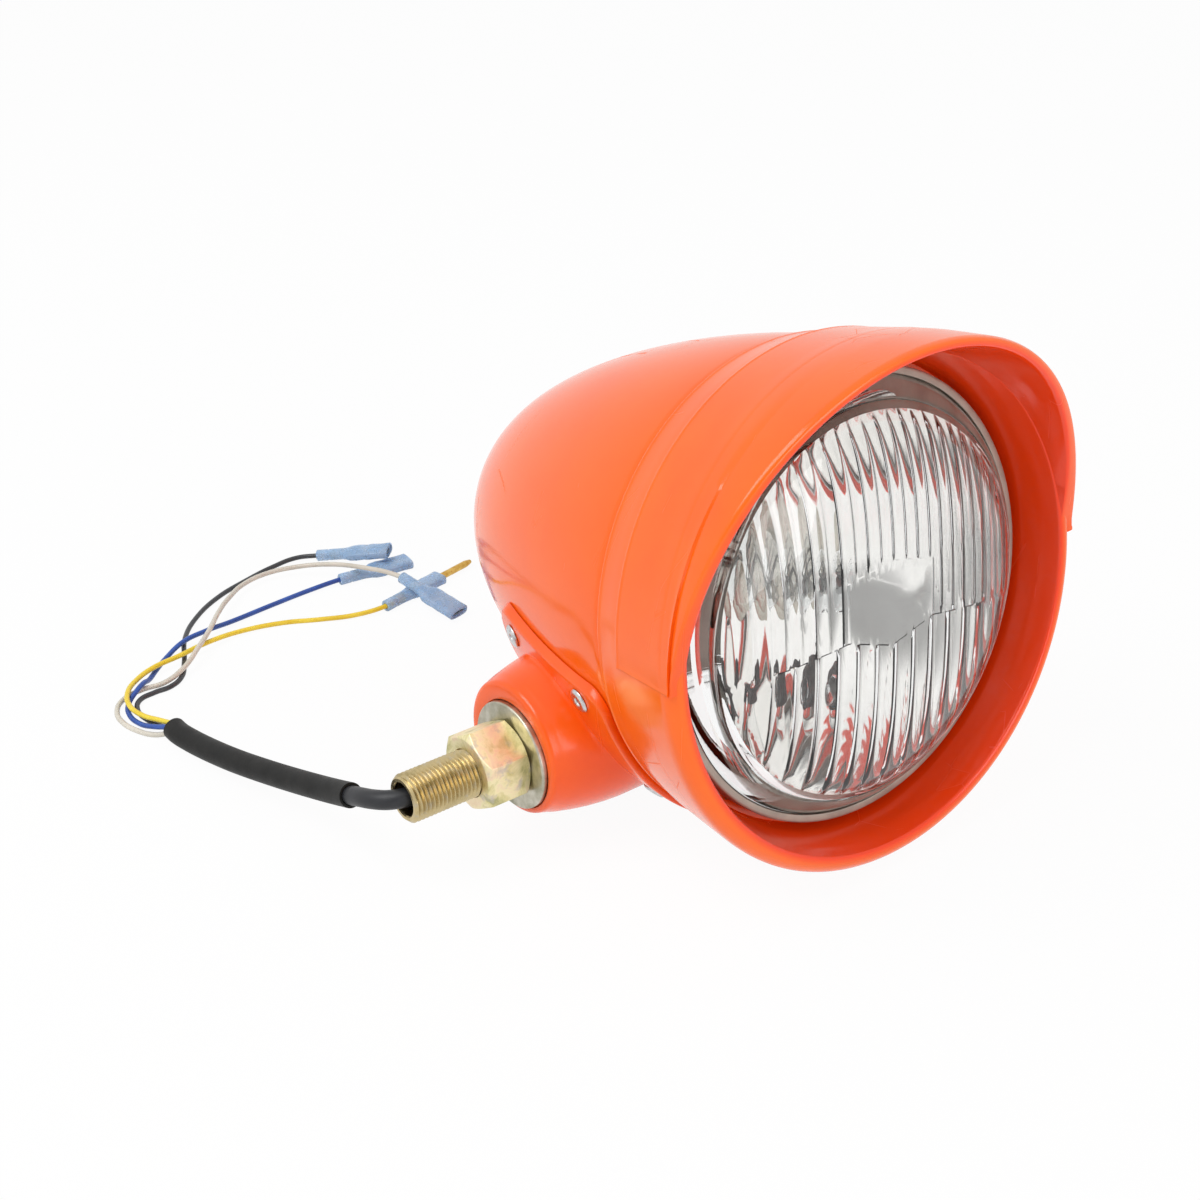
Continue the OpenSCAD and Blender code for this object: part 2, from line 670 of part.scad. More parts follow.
// Insulating boot: round at the lead's entry, flat towards its mouth.
module boot(w) {
    h = 4.2;
    side_y = (w - h) / 2;
    color([0.4, 0.6, 0.85, 0.6]) difference() {
        union() {
            bar_x(2.3, 0, boot_mouth + 1, 24);
            hull() {
                bar_x(2.3, boot_mouth, boot_mouth + 1, 24);
                for (s = [-1, 1]) translate([0, s * side_y, 0])
                    bar_x(h / 2, boot_mouth + 5, boot_l, 24);
            }
        }
        bar_x(1.6, -1, boot_mouth + 2, 24);
        translate([boot_mouth + 1.5, -w / 2 + 1, -1.3]) cube([boot_l, w - 2, 2.6]);
    }
}

// Flat push-on terminal with rolled edges, and its crimped barrel.
module push_terminal() {
    color("silver") {
        bar_x(1.35, boot_in, boot_mouth + 3.5, 24);
        difference() {
            translate([boot_mouth + 3, -3.6, -1.1]) cube([boot_l - boot_mouth - 4, 7.2, 2.2]);
            translate([boot_mouth + 8, -2.9, -0.5]) cube([boot_l, 5.8, 1]);
        }
    }
}

module boot_black() {
    placed(black_at, black_yaw, black_tilt) boot(boot_w);
}

module boot_white() {
    placed(white_at, white_yaw, white_tilt) boot(boot_w);
}

module boot_blue() {
    placed(blue_at, blue_yaw, blue_tilt) boot(boot_w);
}

module boot_yellow() {
    placed(yellow_at, yellow_yaw, yellow_tilt) boot(boot_w - 2);
}

module terminal_black() {
    placed(black_at, black_yaw, black_tilt) push_terminal();
}

module terminal_white() {
    placed(white_at, white_yaw, white_tilt) push_terminal();
}

module terminal_blue() {
    placed(blue_at, blue_yaw, blue_tilt) push_terminal();
}

module pin_yellow() {
    color("goldenrod") placed(yellow_at, yellow_yaw, yellow_tilt) {
        bar_x(1.35, boot_in, boot_mouth + 3.5, 24);
        bar_x(1, boot_mouth + 3, boot_l + 2, 24);
        stud_turn([[0, boot_l + 1], [1.4, boot_l + 1], [1.4, boot_l + 15], [0.8, boot_l + 18],
            [0, boot_l + 18]]);
    }
}

rear_shell();
front_hood();
mount_saddle();
saddle_rivets();
stud();
stud_nut();
stud_washer();
friction_washer();
cable_bush();
lens();
reflector();
lens_gasket();
spring_clips();
clip_rivets();
bulb_base();
bulb_glass();
bulb_filaments();
dip_shield();
bulb_contacts();
bulb_ring();
bulb_connector();
parking_holder();
parking_bulb();
parking_base();
lead_main();
lead_dipped();
lead_earth();
lead_parking();
cable_tube();
cable_sleeve();
wire_black();
wire_white();
wire_blue();
wire_yellow();
boot_black();
boot_white();
boot_blue();
boot_yellow();
terminal_black();
terminal_white();
terminal_blue();
pin_yellow();
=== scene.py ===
# Tractor headlight: the finish of every piece, modelled round the CAD frame.
# Sizes in the dictionaries are millimetres in a piece's own frame. The camera, the studio, and the routes,
# lengths and radii of the cable and leads are metres in the row frame.
import math
import bmesh
import bpy
from mathutils import Matrix, Vector


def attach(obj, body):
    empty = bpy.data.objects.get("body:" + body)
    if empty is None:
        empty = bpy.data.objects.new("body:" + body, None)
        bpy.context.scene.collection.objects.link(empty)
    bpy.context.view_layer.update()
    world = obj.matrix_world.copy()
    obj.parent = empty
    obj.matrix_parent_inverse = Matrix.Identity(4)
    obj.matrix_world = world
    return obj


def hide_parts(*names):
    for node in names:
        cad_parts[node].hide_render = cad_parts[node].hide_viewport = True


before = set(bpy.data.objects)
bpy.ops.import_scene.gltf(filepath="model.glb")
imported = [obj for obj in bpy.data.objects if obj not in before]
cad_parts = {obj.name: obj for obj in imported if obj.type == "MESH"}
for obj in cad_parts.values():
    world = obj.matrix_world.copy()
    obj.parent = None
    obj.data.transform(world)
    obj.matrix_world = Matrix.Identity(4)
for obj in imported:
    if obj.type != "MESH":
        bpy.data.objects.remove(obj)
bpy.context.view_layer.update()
mm = 0.001
scaled = Matrix.Scale(mm, 4)


def rotated(degrees, axis):
    return Matrix.Rotation(math.radians(degrees), 4, axis)


def cosSin(degrees):
    return math.cos(math.radians(degrees)), math.sin(math.radians(degrees))


# Cosines and sines of so many even steps round a turn.
def roundTurn(count):
    return [(math.cos(math.tau * k / count), math.sin(math.tau * k / count)) for k in range(count)]


# Where the lamp sits: lens axis beside the stud, nose up, as it lies on its hood.
lamp = {"side": 88, "noseUp": 9, "studBack": 68, "studDrop": 43}
headFrame = (Matrix.Translation((lamp["side"], 0, 0)) @ rotated(-lamp["noseUp"], "X")
             @ Matrix.Translation((0, -lamp["studBack"], lamp["studDrop"])))
headPlace = scaled @ headFrame
alongX = rotated(-90, "Z")   # a profile turned about Y now runs along X
studPlace = scaled @ alongX
print("frame loaded:", len(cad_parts), "nodes")


# Camera at the photograph's angle.
view = {"at": (-0.2878, -0.4177, 0.3349), "right": (0.790, -0.6131, 0.0), "up": (0.2959, 0.3808, 0.876),
        "back": (-0.537, -0.6921, 0.4822), "focal": 57.44, "sensor": 36, "nearest": 0.01}


def addObject(name, data):
    thing = bpy.data.objects.new(name, data)
    bpy.context.scene.collection.objects.link(thing)
    return thing


def addCamera():
    data = bpy.data.cameras.new("camera")
    data.lens = view["focal"]
    data.sensor_width = view["sensor"]
    data.sensor_fit = "AUTO"
    data.clip_start = view["nearest"]
    camera = addObject("camera", data)
    axes = Matrix((view["right"], view["up"], view["back"])).transposed().to_4x4()
    camera.matrix_world = Matrix.Translation(view["at"]) @ axes
    bpy.context.scene.camera = camera


addCamera()


# Small tools for materials.
def toLinear(code):
    parts = [int(code[i:i + 2], 16) / 255 for i in (1, 3, 5)]
    return [p / 12.92 if p <= 0.04045 else ((p + 0.055) / 1.055) ** 2.4 for p in parts] + [1]


def addNode(tree, kind, inputs=None, settings=None):
    node = tree.nodes.new("ShaderNode" + kind)
    for name, value in (settings or {}).items():
        setattr(node, name, value)
    for name, value in (inputs or {}).items():
        if isinstance(value, bpy.types.NodeSocket):
            tree.links.new(value, node.inputs[name])
        else:
            node.inputs[name].default_value = value
    return node


def emptyTree(owner):
    owner.use_nodes = True
    owner.node_tree.nodes.clear()
    return owner.node_tree


def startMaterial(name, fixed):
    material = bpy.data.materials.new(name)
    tree = emptyTree(material)
    shader = addNode(tree, "BsdfPrincipled", fixed)
    addNode(tree, "OutputMaterial", {"Surface": shader.outputs[0]})
    return material, tree, shader


def setRamp(ramp, stops):
    band = ramp.color_ramp
    while len(band.elements) < len(stops):
        band.elements.new(0.5)
    for element, (place, code) in zip(band.elements, stops):
        element.position = place
        element.color = toLinear(code)


# What a noise of so many millimetres takes, and what spreads a value from one span over another.
def atSize(place, size, detail, **more):
    return {"Vector": place, "Scale": 1 / (size * mm), "Detail": detail, **more}


def spread(value, source, target):
    return {"Value": value, "From Min": source[0], "From Max": source[1],
            "To Min": target[0], "To Max": target[1]}


# Hairline scratches: borders of long thin cells, kept in rare patches, sunk and a little rougher.
hairline = {"slant": (0.5, 0.9, 0.3), "stretch": (1, 1, 0.045), "width": 0.012, "patch": 24,
            "rare": (0.56, 0.62), "sunk": -1.5, "rougher": 0.3}


def addHairlines(tree, place, size, height, roughness):
    slanted = addNode(tree, "Mapping", {"Vector": place, "Rotation": hairline["slant"],
                                        "Scale": hairline["stretch"]})
    cells = addNode(tree, "TexVoronoi", {"Vector": slanted.outputs[0], "Scale": 1 / (size * mm)},
                    {"feature": "DISTANCE_TO_EDGE"})
    thin = addNode(tree, "MapRange", spread(cells.outputs[0], (0, hairline["width"]), (1, 0)))
    patches = addNode(tree, "TexNoise", atSize(place, hairline["patch"], 2))
    rare = addNode(tree, "MapRange", spread(patches.outputs[0], hairline["rare"], (0, 1)))
    mark = addNode(tree, "Math", {0: thin.outputs[0], 1: rare.outputs[0]}, {"operation": "MULTIPLY"})
    sunk = addNode(tree, "Math", {0: mark.outputs[0], 1: hairline["sunk"], 2: height},
                   {"operation": "MULTIPLY_ADD"})
    rough = addNode(tree, "Math", {0: mark.outputs[0], 1: hairline["rougher"], 2: roughness},
                    {"operation": "MULTIPLY_ADD", "use_clamp": True})
    return sunk.outputs[0], rough.outputs[0]


wearSpan = (0.3, 0.7)                                   # the part of a noise that its gloss follows
colourPlaces = {2: (0.32, 0.68), 3: (0.3, 0.5, 0.7)}    # where two or three colours sit in a mottle


def feedShader(tree, shader, colour, roughness, height, look):
    bump = addNode(tree, "Bump", {"Height": height, "Strength": look.get("relief", 0.3),
                                  "Distance": look["depth"] * mm})
    for name, source in (("Base Color", colour), ("Roughness", roughness), ("Normal", bump.outputs[0])):
        tree.links.new(source, shader.inputs[name])


# One finish: a mottled colour, an uneven gloss and a fine relief, each at its own size in millimetres.
def makeFinish(name, look):
    material, tree, shader = startMaterial(name, look["fixed"])
    place = addNode(tree, "TexCoord").outputs["Object"]
    tone = addNode(tree, "TexNoise", atSize(place, look["mottle"], 5, Roughness=0.6))
    ramp = addNode(tree, "ValToRGB", {"Fac": tone.outputs[0]})
    setRamp(ramp, list(zip(colourPlaces[len(look["colours"])], look["colours"])))
    colour = ramp.outputs[0]
    # Painted shade: an "inside" colour is mixed in where the mesh's inside attribute marks faces that look
    # inwards.
    if "inside" in look:
        mark = addNode(tree, "Attribute", settings={"attribute_name": "inside"})
        colour = addNode(tree, "Mix", {0: mark.outputs["Fac"], 6: colour, 7: toLinear(look["inside"])},
                         {"data_type": "RGBA"}).outputs[2]
    wear = addNode(tree, "TexNoise", atSize(place, look["patch"], 4, Roughness=0.65))
    roughness = addNode(tree, "MapRange", spread(wear.outputs[0], wearSpan, look["rough"])).outputs[0]
    height = addNode(tree, "TexNoise", atSize(place, look["grain"], 3, Roughness=0.55)).outputs[0]
    if "scratch" in look:
        height, roughness = addHairlines(tree, place, look["scratch"], height, roughness)
    feedShader(tree, shader, colour, roughness, height, look)
    return material


metal = {"Metallic": 1}
finishes = {
    # Glossy moulded ABS, coloured in the mass: an even bright orange with a soft wavy gloss and hairline
    # scratches; faces that look inwards are painted a deeper red, as painted shade.
    "hoodAbs": {"colours": ("#FC640A", "#FF6C10"), "inside": "#FC4008", "mottle": 30, "patch": 14,
                "rough": (0.14, 0.22), "grain": 5, "depth": 0.04, "scratch": 16, "fixed": {"IOR": 1.47}},
    # Baked enamel over pressed steel: the same orange, a little deeper, wet gloss and faint orange peel.
    "shellEnamel": {"colours": ("#FB6209", "#FF6A0E"), "mottle": 45, "patch": 20, "rough": (0.1, 0.17),
                    "grain": 3.5, "depth": 0.03, "scratch": 22, "fixed": {"IOR": 1.42}},
    # Moulded ABS of the foot: slightly softer gloss than the hood, with faint drifts of colour.
    "saddleAbs": {"colours": ("#FA5C0A", "#FF640F"), "mottle": 16, "patch": 9, "rough": (0.16, 0.26),
                  "grain": 4, "depth": 0.04, "scratch": 18, "fixed": {"IOR": 1.47}},
    # Set aluminium of blind rivets: bright and pale, dulled by the setting tool.
    "rivetAluminium": {"colours": ("#B9BABC", "#DCDCDC"), "mottle": 1.2, "patch": 0.8, "rough": (0.22, 0.4),
                       "grain": 0.5, "depth": 0.03, "relief": 0.4, "fixed": metal},
    # Grey zinc plate on a stamped washer: dull warm grey with darker blotches and paler rubbed places.
    "washerZinc": {"colours": ("#96947F", "#B9B5A4", "#D6D1C4"), "mottle": 7, "patch": 3,
                   "rough": (0.26, 0.5), "grain": 0.8, "depth": 0.04, "relief": 0.4, "fixed": metal},
    # Blued spring steel: dark and satin.
    "springSteel": {"colours": ("#4C4E52", "#6C6E72"), "mottle": 6, "patch": 3, "rough": (0.3, 0.45),
                    "grain": 0.8, "depth": 0.03, "fixed": metal},
    # Sealing ring behind the glass's edge: pale warm grey, soft and matt.
    "sealRubber": {"colours": ("#A89C8F", "#C2B7AA"), "mottle": 9, "patch": 5, "rough": (0.45, 0.65),
                   "grain": 1.5, "depth": 0.05, "relief": 0.4, "fixed": {"IOR": 1.45}},
    # Bare rim of the reflector: rolled sheet, satin and a little warm.
    "rimSatin": {"colours": ("#9A9085", "#B8AEA2"), "mottle": 12, "patch": 6, "rough": (0.42, 0.58),
                 "grain": 1.2, "depth": 0.03, "fixed": {"Metallic": 0.5}},
    # Vulcanised rubber: matt, near black, with a fine dusty bloom.
    "blackRubber": {"colours": ("#1B1B1C", "#2A2A2B"), "mottle": 5, "patch": 3, "rough": (0.6, 0.8),
                    "grain": 0.6, "depth": 0.05, "relief": 0.5, "fixed": {"IOR": 1.52}},
    # Galvanised strip of the clips: light grey with a faint spangle.
    "clipSteel": {"colours": ("#9FA2A4", "#C3C5C6"), "mottle": 2.5, "patch": 3, "rough": (0.3, 0.45),
                  "grain": 0.8, "depth": 0.02, "fixed": metal},
    # Drawn nickelled cap of the bulb: clean and bright.
    "capMetal": {"colours": ("#BDB9AE", "#DAD6CC"), "mottle": 5, "patch": 3, "rough": (0.18, 0.3),
                 "grain": 0.7, "depth": 0.02, "fixed": metal},
    # Drawn tungsten coil and its supports: dark grey wire.
    "tungsten": {"colours": ("#5B5A58", "#83817D"), "mottle": 1, "patch": 1, "rough": (0.35, 0.5),
                 "grain": 0.3, "depth": 0.02, "fixed": metal},
    # Pressed molybdenum cup under the dipped filament: satin grey.
    "shieldMetal": {"colours": ("#8F8F8E", "#ADACAA"), "mottle": 2, "patch": 1.5, "rough": (0.25, 0.4),
                    "grain": 0.4, "depth": 0.02, "fixed": metal},
    # Tinned brass of blades and terminals: warm grey, lightly tarnished.
    "tinnedBrass": {"colours": ("#A9A498", "#CFCBC0"), "mottle": 3, "patch": 1.5, "rough": (0.25, 0.42),
                    "grain": 0.5, "depth": 0.03, "fixed": metal},
    # Bare turned brass of the pin: clear yellow metal with darker handling marks.
    "pinBrass": {"colours": ("#B98A3C", "#E2BD6C"), "mottle": 2.5, "patch": 1.5, "rough": (0.18, 0.34),
                 "grain": 0.4, "depth": 0.02, "fixed": metal},
    # Moulded nylon of the bulb plug: dark grey, fine spark-eroded texture.
    "plugNylon": {"colours": ("#2A2B2D", "#3A3B3D"), "mottle": 6, "patch": 3, "rough": (0.45, 0.6),
                  "grain": 0.5, "depth": 0.04, "relief": 0.5, "fixed": {"IOR": 1.53}},
    # Phenolic holder of the parking bulb: brown-black with a dull sheen.
    "holderPhenolic": {"colours": ("#2B2320", "#3B302B"), "mottle": 4, "patch": 3, "rough": (0.35, 0.5),
                       "grain": 0.8, "depth": 0.03, "fixed": {"IOR": 1.6}},
    # Smooth extruded PVC of the cable's inner sheath: grey-black, satin.
    "sheathPvc": {"colours": ("#1E1F22", "#2B2C30"), "mottle": 9, "patch": 5, "rough": (0.38, 0.5),
                  "grain": 1.2, "depth": 0.05, "relief": 0.35, "fixed": {"IOR": 1.45}},
    # Soft black PVC sleeving: satin, a little dusty, with a low uneven skin.
    "sleevePvc": {"colours": ("#0E0E0D", "#191816"), "mottle": 7, "patch": 6, "rough": (0.45, 0.6),
                  "grain": 1.5, "depth": 0.06, "relief": 0.35, "fixed": {"IOR": 1.35}},
    # Dip-moulded vinyl of the boots: clear sky blue, cloudy where it is thick, soft satin skin.
    "bootVinyl": {"colours": ("#A9CFF5", "#C9E1FA"), "mottle": 5, "patch": 3, "rough": (0.22, 0.34),
                  "grain": 3, "depth": 0.02, "relief": 0.15,
                  "fixed": {"IOR": 1.3, "Transmission Weight": 0.4}},
    # Vacuum-metallised bowl: a clean mirror with the faintest ripple of the pressing.
    "reflectorSilver": {"colours": ("#F2F1EE", "#FCFBF9"), "mottle": 20, "patch": 12, "rough": (0.02, 0.07),
                        "grain": 9, "depth": 0.05, "relief": 0.25, "fixed": metal},
    # Clear blown glass of the bulbs.
    "bulbGlass": {"colours": ("#F6F9FA", "#FFFFFF"), "mottle": 10, "patch": 6, "rough": (0.0, 0.01),
                  "grain": 8, "depth": 0.01, "relief": 0.1, "fixed": {"IOR": 1.47, "Transmission Weight": 1}},
    # Pressed lens glass: colourless, mirror-smooth with a slight melt ripple.
    "lensGlass": {"colours": ("#FBFBFA", "#FFFFFF"), "mottle": 30, "patch": 20, "rough": (0.0, 0.012),
                  "grain": 6, "depth": 0.03, "fixed": {"IOR": 1.5, "Transmission Weight": 1}},
}
# Coloured PVC insulation, extruded: clean colour with a soft shine and slight handling grime.
leadColours = {"black": ("#2A2C2F", "#3B3D41"), "white": ("#CDC7B9", "#DFD9CC"),
               "blue": ("#1E4596", "#2F5CB4"), "yellow": ("#EACB2C", "#F8E04A")}
for colour, pair in leadColours.items():
    finishes[colour + "Pvc"] = {"colours": pair, "mottle": 8, "patch": 5, "rough": (0.3, 0.42), "grain": 1,
                                "depth": 0.03, "fixed": {"IOR": 1.53}}
made = {name: makeFinish(name, look) for name, look in finishes.items()}


# Yellow passivated zinc: straw to gold, with pink and green drifts where the film's thickness changes.
def makeYellowZinc(name, look):
    material, tree, shader = startMaterial(name, metal)
    place = addNode(tree, "TexCoord").outputs["Object"]
    film = addNode(tree, "TexNoise", atSize(place, look["drift"], 6, Roughness=0.62, Distortion=0.6))
    ramp = addNode(tree, "ValToRGB", {"Fac": film.outputs[0]})
    setRamp(ramp, look["film"])
    spots = addNode(tree, "TexNoise", atSize(place, look["spot"], 4))
    rubbed = addNode(tree, "MapRange", spread(spots.outputs[0], (0.56, 0.72), (0, 0.75)))
    base = addNode(tree, "Mix", {0: rubbed.outputs[0], 6: ramp.outputs[0], 7: toLinear(look["bare"])},
                   {"data_type": "RGBA"})
    gloss = addNode(tree, "MapRange", spread(spots.outputs[0], wearSpan, look["rough"]))
    grain = addNode(tree, "TexNoise", atSize(place, look["grain"], 5))
    feedShader(tree, shader, base.outputs[2], gloss.outputs[0], grain.outputs[0], look)
    return material


yellowZinc = {
    "nutZinc": {"drift": 8, "spot": 3.5, "grain": 1.1, "depth": 0.05, "relief": 0.4, "rough": (0.4, 0.58),
                "bare": "#CBC5BD",
                "film": [(0.3, "#B5B283"), (0.4, "#DCD29B"), (0.52, "#F4E9BE"), (0.62, "#F2DCBC"),
                         (0.74, "#CFC7A0")]},
    "studZinc": {"drift": 6, "spot": 3, "grain": 0.8, "depth": 0.03, "relief": 0.4, "rough": (0.24, 0.38),
                 "bare": "#BDB5A2", "film": [(0.3, "#A8976A"), (0.5, "#C9B688"), (0.7, "#BFAC80")]},
}
made.update({name: makeYellowZinc(name, look) for name, look in yellowZinc.items()})
print("materials made:", len(made))


# Small tools for meshes. A piece takes the place of the CAD node that has its name.
def newPiece(name, data, body):
    piece = addObject(name, data)
    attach(piece, body)
    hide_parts(name)
    return piece


def toMesh(bm, name):
    mesh = bpy.data.meshes.new(name)
    bm.to_mesh(mesh)
    bm.free()
    return mesh


def finishPiece(bm, name, body, finish, place=scaled, sharp=32):
    bmesh.ops.transform(bm, matrix=place, verts=bm.verts)
    mesh = toMesh(bm, name)
    mesh.materials.append(made[finish])
    mesh.shade_smooth()
    mesh.set_sharp_from_angle(angle=math.radians(sharp))
    return newPiece(name, mesh, body)


# Moves everything from one bmesh into another.
def joinInto(bm, extra):
    helper = toMesh(extra, "helper")
    bm.from_mesh(helper)
    bpy.data.meshes.remove(helper)


# Rounds a profile's corners; each point is (radius, along, how far the rounding reaches).
def soften(profile, steps=3):
    soft = []
    count = len(profile)
    for i, point in enumerate(profile):
        here = Vector(point[:2])
        reach = point[2] if len(point) > 2 else 0
        if not reach:
            soft.append(here)
            continue
        before = Vector(profile[i - 1][:2]) - here
        after = Vector(profile[(i + 1) % count][:2]) - here
        start = here + before.normalized() * min(reach, before.length * 0.48)
        end = here + after.normalized() * min(reach, after.length * 0.48)
        for k in range(steps + 1):
            t = k / steps
            soft.append(start * (1 - t) ** 2 + here * 2 * t * (1 - t) + end * t * t)
    return soft


# Spins a line of (radius, along) points about Y; a rise makes it a screw.
def lathe(bm, points, steps, closed, rise=0):
    verts = [bm.verts.new((p[0], p[1], 0)) for p in points]
    pairs = list(zip(verts, verts[1:])) + ([(verts[-1], verts[0])] if closed else [])
    lines = [bm.edges.new(pair) for pair in pairs]
    bmesh.ops.spin(bm, geom=verts + lines, cent=(0, 0, 0), axis=(0, 1, 0), angle=math.tau, steps=steps,
                   dvec=(0, rise / steps, 0), use_merge=not rise)


def turned(profile, steps):
    bm = bmesh.new()
    lathe(bm, profile, steps, closed=True)
    bmesh.ops.remove_doubles(bm, verts=bm.verts, dist=0.0004)
    bmesh.ops.recalc_face_normals(bm, faces=bm.faces)
    return bm


# Extrudes a row of edges on the spot and gives the new row and its points.
def grow(bm, lines):
    grown = bmesh.ops.extrude_edge_only(bm, edges=lines)["geom"]
    fresh = {g for g in grown if isinstance(g, bmesh.types.BMVert)}
    edges = [g for g in grown if isinstance(g, bmesh.types.BMEdge)]
    return [e for e in edges if e.verts[0] in fresh and e.verts[1] in fresh], fresh


# Extrudes a ring of points from station to station; a station is the ring's list of points.
def loft(stations, closed=False):
    bm = bmesh.new()
    spoke = bm.verts.layers.int.new("spoke")
    first = [bm.verts.new(p) for p in stations[0]]
    for i, vert in enumerate(first):
        vert[spoke] = i
    startLines = [bm.edges.new((first[i], first[(i + 1) % len(first)])) for i in range(len(first))]
    if not closed:
        bm.faces.new(first)
    lines = startLines
    for station in stations[1:]:
        lines, fresh = grow(bm, lines)
        for vert in fresh:
            vert.co = station[vert[spoke]]
    if closed:
        bmesh.ops.bridge_loops(bm, edges=lines + startLines)
    else:
        bm.faces.new(sorted({v for line in lines for v in line.verts}, key=lambda v: v[spoke]))
    bmesh.ops.recalc_face_normals(bm, faces=bm.faces)
    return bm


# A smooth line through the points, as count + 1 places with even steps of the parameter.
def through(points, count):
    spots = [Vector(p) for p in points]
    line = []
    for k in range(count + 1):
        t = k / count * (len(spots) - 1)
        i = min(int(t), len(spots) - 2)
        f = t - i
        a, b = spots[max(i - 1, 0)], spots[i]
        c, d = spots[i + 1], spots[min(i + 2, len(spots) - 1)]
        line.append(0.5 * (2 * b + (c - a) * f + (2 * a - 5 * b + 4 * c - d) * f ** 2
                           + (3 * b - a - 3 * c + d) * f ** 3))
    return line


def ringAt(line, i, radius, sides):
    ahead = (line[min(i + 1, len(line) - 1)] - line[max(i - 1, 0)]).normalized()
    level = Vector((0, 0, 1)).cross(ahead).normalized()
    rise = ahead.cross(level)
    return [line[i] + radius * (c * level + s * rise) for c, s in roundTurn(sides)]


# The cable and its leads come first, with their lengths listed, lying where the CAD tubes lie.
cable = {
    "exit": (0.0125, 0, 0),
    "tubeRadius": 0.0031, "tubeLength": 0.082, "tubeSteps": 48, "tubeSides": 24,
    "tubeRoute": [(0.020, 0, 0), (-0.012, 0, 0), (-0.024, 0, 0), (-0.032, 0, 0), (-0.0383, 0.0008, -0.0001),
                  (-0.0428, 0.0034, -0.0006), (-0.0455, 0.0082, -0.0018), (-0.0464, 0.014, -0.0038),
                  (-0.0464, 0.020, -0.0064)],
    "sleeveRadius": 0.0041, "sleeveWall": 0.0008, "sleeveLength": 0.103, "sleeveSteps": 56, "sleeveSides": 32,
    "sleeveRoute": [(-0.0464, 0.020, -0.0064), (-0.047, 0.033, -0.0112), (-0.049, 0.049, -0.0158),
                    (-0.0515, 0.066, -0.020), (-0.0545, 0.084, -0.0236), (-0.057, 0.101, -0.0262),
                    (-0.0588, 0.114, -0.0273), (-0.059, 0.120, -0.0274)],
}


def addTube():
    line = through(cable["tubeRoute"], cable["tubeSteps"])
    rings = [ringAt(line, i, cable["tubeRadius"], cable["tubeSides"]) for i in range(len(line))]
    piece = finishPiece(loft(rings), "cable_tube", "root", "sheathPvc", Matrix.Identity(4))
    return piece, line


def addSleeve():
    line = through(cable["sleeveRoute"], cable["sleeveSteps"])
    radius, sides = cable["sleeveRadius"], cable["sleeveSides"]
    outside = [ringAt(line, i, radius, sides) for i in range(len(line))]
    inside = [ringAt(line, i, radius - cable["sleeveWall"], sides) for i in reversed(range(len(line)))]
    piece = finishPiece(loft(outside + inside, closed=True), "cable_sleeve", "root",
                        "sleevePvc", Matrix.Identity(4))
    return piece, line


tube, tubeLine = addTube()
sleeve, sleeveLine = addSleeve()

leads = {
    "black": {"length": 0.170, "bootAt": (0.0485, 0.2049, -0.0284), "yaw": -47, "tilt": 9,
              "route": [(-0.0578, 0.120, -0.0287), (-0.060, 0.128, -0.0302), (-0.062, 0.136, -0.0305),
                        (-0.0618, 0.1435, -0.0305), (-0.058, 0.1495, -0.0305), (-0.0515, 0.151, -0.0305),
                        (-0.045, 0.1512, -0.0305), (-0.039, 0.1546, -0.0305), (-0.033, 0.164, -0.0305),
                        (-0.0245, 0.180, -0.0305), (-0.014, 0.1915, -0.0305), (0.001, 0.2015, -0.0305),
                        (0.016, 0.207, -0.0305), (0.031, 0.2105, -0.0302), (0.041, 0.2098, -0.0292)]},
    "yellow": {"length": 0.158, "bootAt": (0.0484, 0.1525, -0.0292), "yaw": 13, "tilt": 0,
               "route": [(-0.0578, 0.120, -0.0262), (-0.0605, 0.128, -0.0274), (-0.0634, 0.136, -0.0282),
                         (-0.0642, 0.1445, -0.0281), (-0.0613, 0.1522, -0.0277), (-0.054, 0.1593, -0.0279),
                         (-0.045, 0.1636, -0.028), (-0.0345, 0.1656, -0.0282), (-0.020, 0.1688, -0.0285),
                         (-0.005, 0.1706, -0.0298), (0.011, 0.1676, -0.0305), (0.024, 0.161, -0.0305),
                         (0.036, 0.155, -0.030)]},
    "blue": {"length": 0.160, "bootAt": (0.0455, 0.1825, -0.0292), "yaw": -6, "tilt": 0,
             "route": [(-0.0602, 0.120, -0.0262), (-0.063, 0.127, -0.0286), (-0.0652, 0.135, -0.0305),
                       (-0.0654, 0.143, -0.0305), (-0.0623, 0.1494, -0.030), (-0.057, 0.1529, -0.0281),
                       (-0.0532, 0.156, -0.0283), (-0.0495, 0.1596, -0.030), (-0.044, 0.165, -0.0305),
                       (-0.037, 0.1708, -0.0304), (-0.028, 0.1745, -0.0284), (-0.0175, 0.1768, -0.0284),
                       (-0.005, 0.1796, -0.0298), (0.015, 0.1828, -0.0305), (0.034, 0.1836, -0.030)]},
    "white": {"length": 0.212, "bootAt": (0.0601, 0.1587, -0.0228), "yaw": -76, "tilt": -10.5,
              "route": [(-0.0602, 0.120, -0.0287), (-0.0646, 0.125, -0.0303), (-0.068, 0.1315, -0.0305),
                        (-0.0696, 0.139, -0.0305), (-0.0682, 0.147, -0.0305), (-0.0624, 0.1536, -0.0305),
                        (-0.054, 0.1556, -0.0305), (-0.046, 0.154, -0.0298), (-0.037, 0.1565, -0.0282),
                        (-0.027, 0.1635, -0.0261), (-0.0173, 0.173, -0.0261), (-0.008, 0.1835, -0.0264),
                        (0.002, 0.1937, -0.0276), (0.013, 0.2015, -0.0283), (0.024, 0.2035, -0.0282),
                        (0.035, 0.200, -0.0274), (0.045, 0.1905, -0.0254), (0.053, 0.177, -0.0237)]},
}
leadRadius = 0.00095
bootSize = {"length": 31, "entry": 6, "neckRadius": 2.3, "neckEnd": 9, "flatFrom": 15, "height": 4.2,
            "wall": 0.8, "width": {"black": 9.5, "white": 9.5, "blue": 9.5, "yellow": 7.5}}


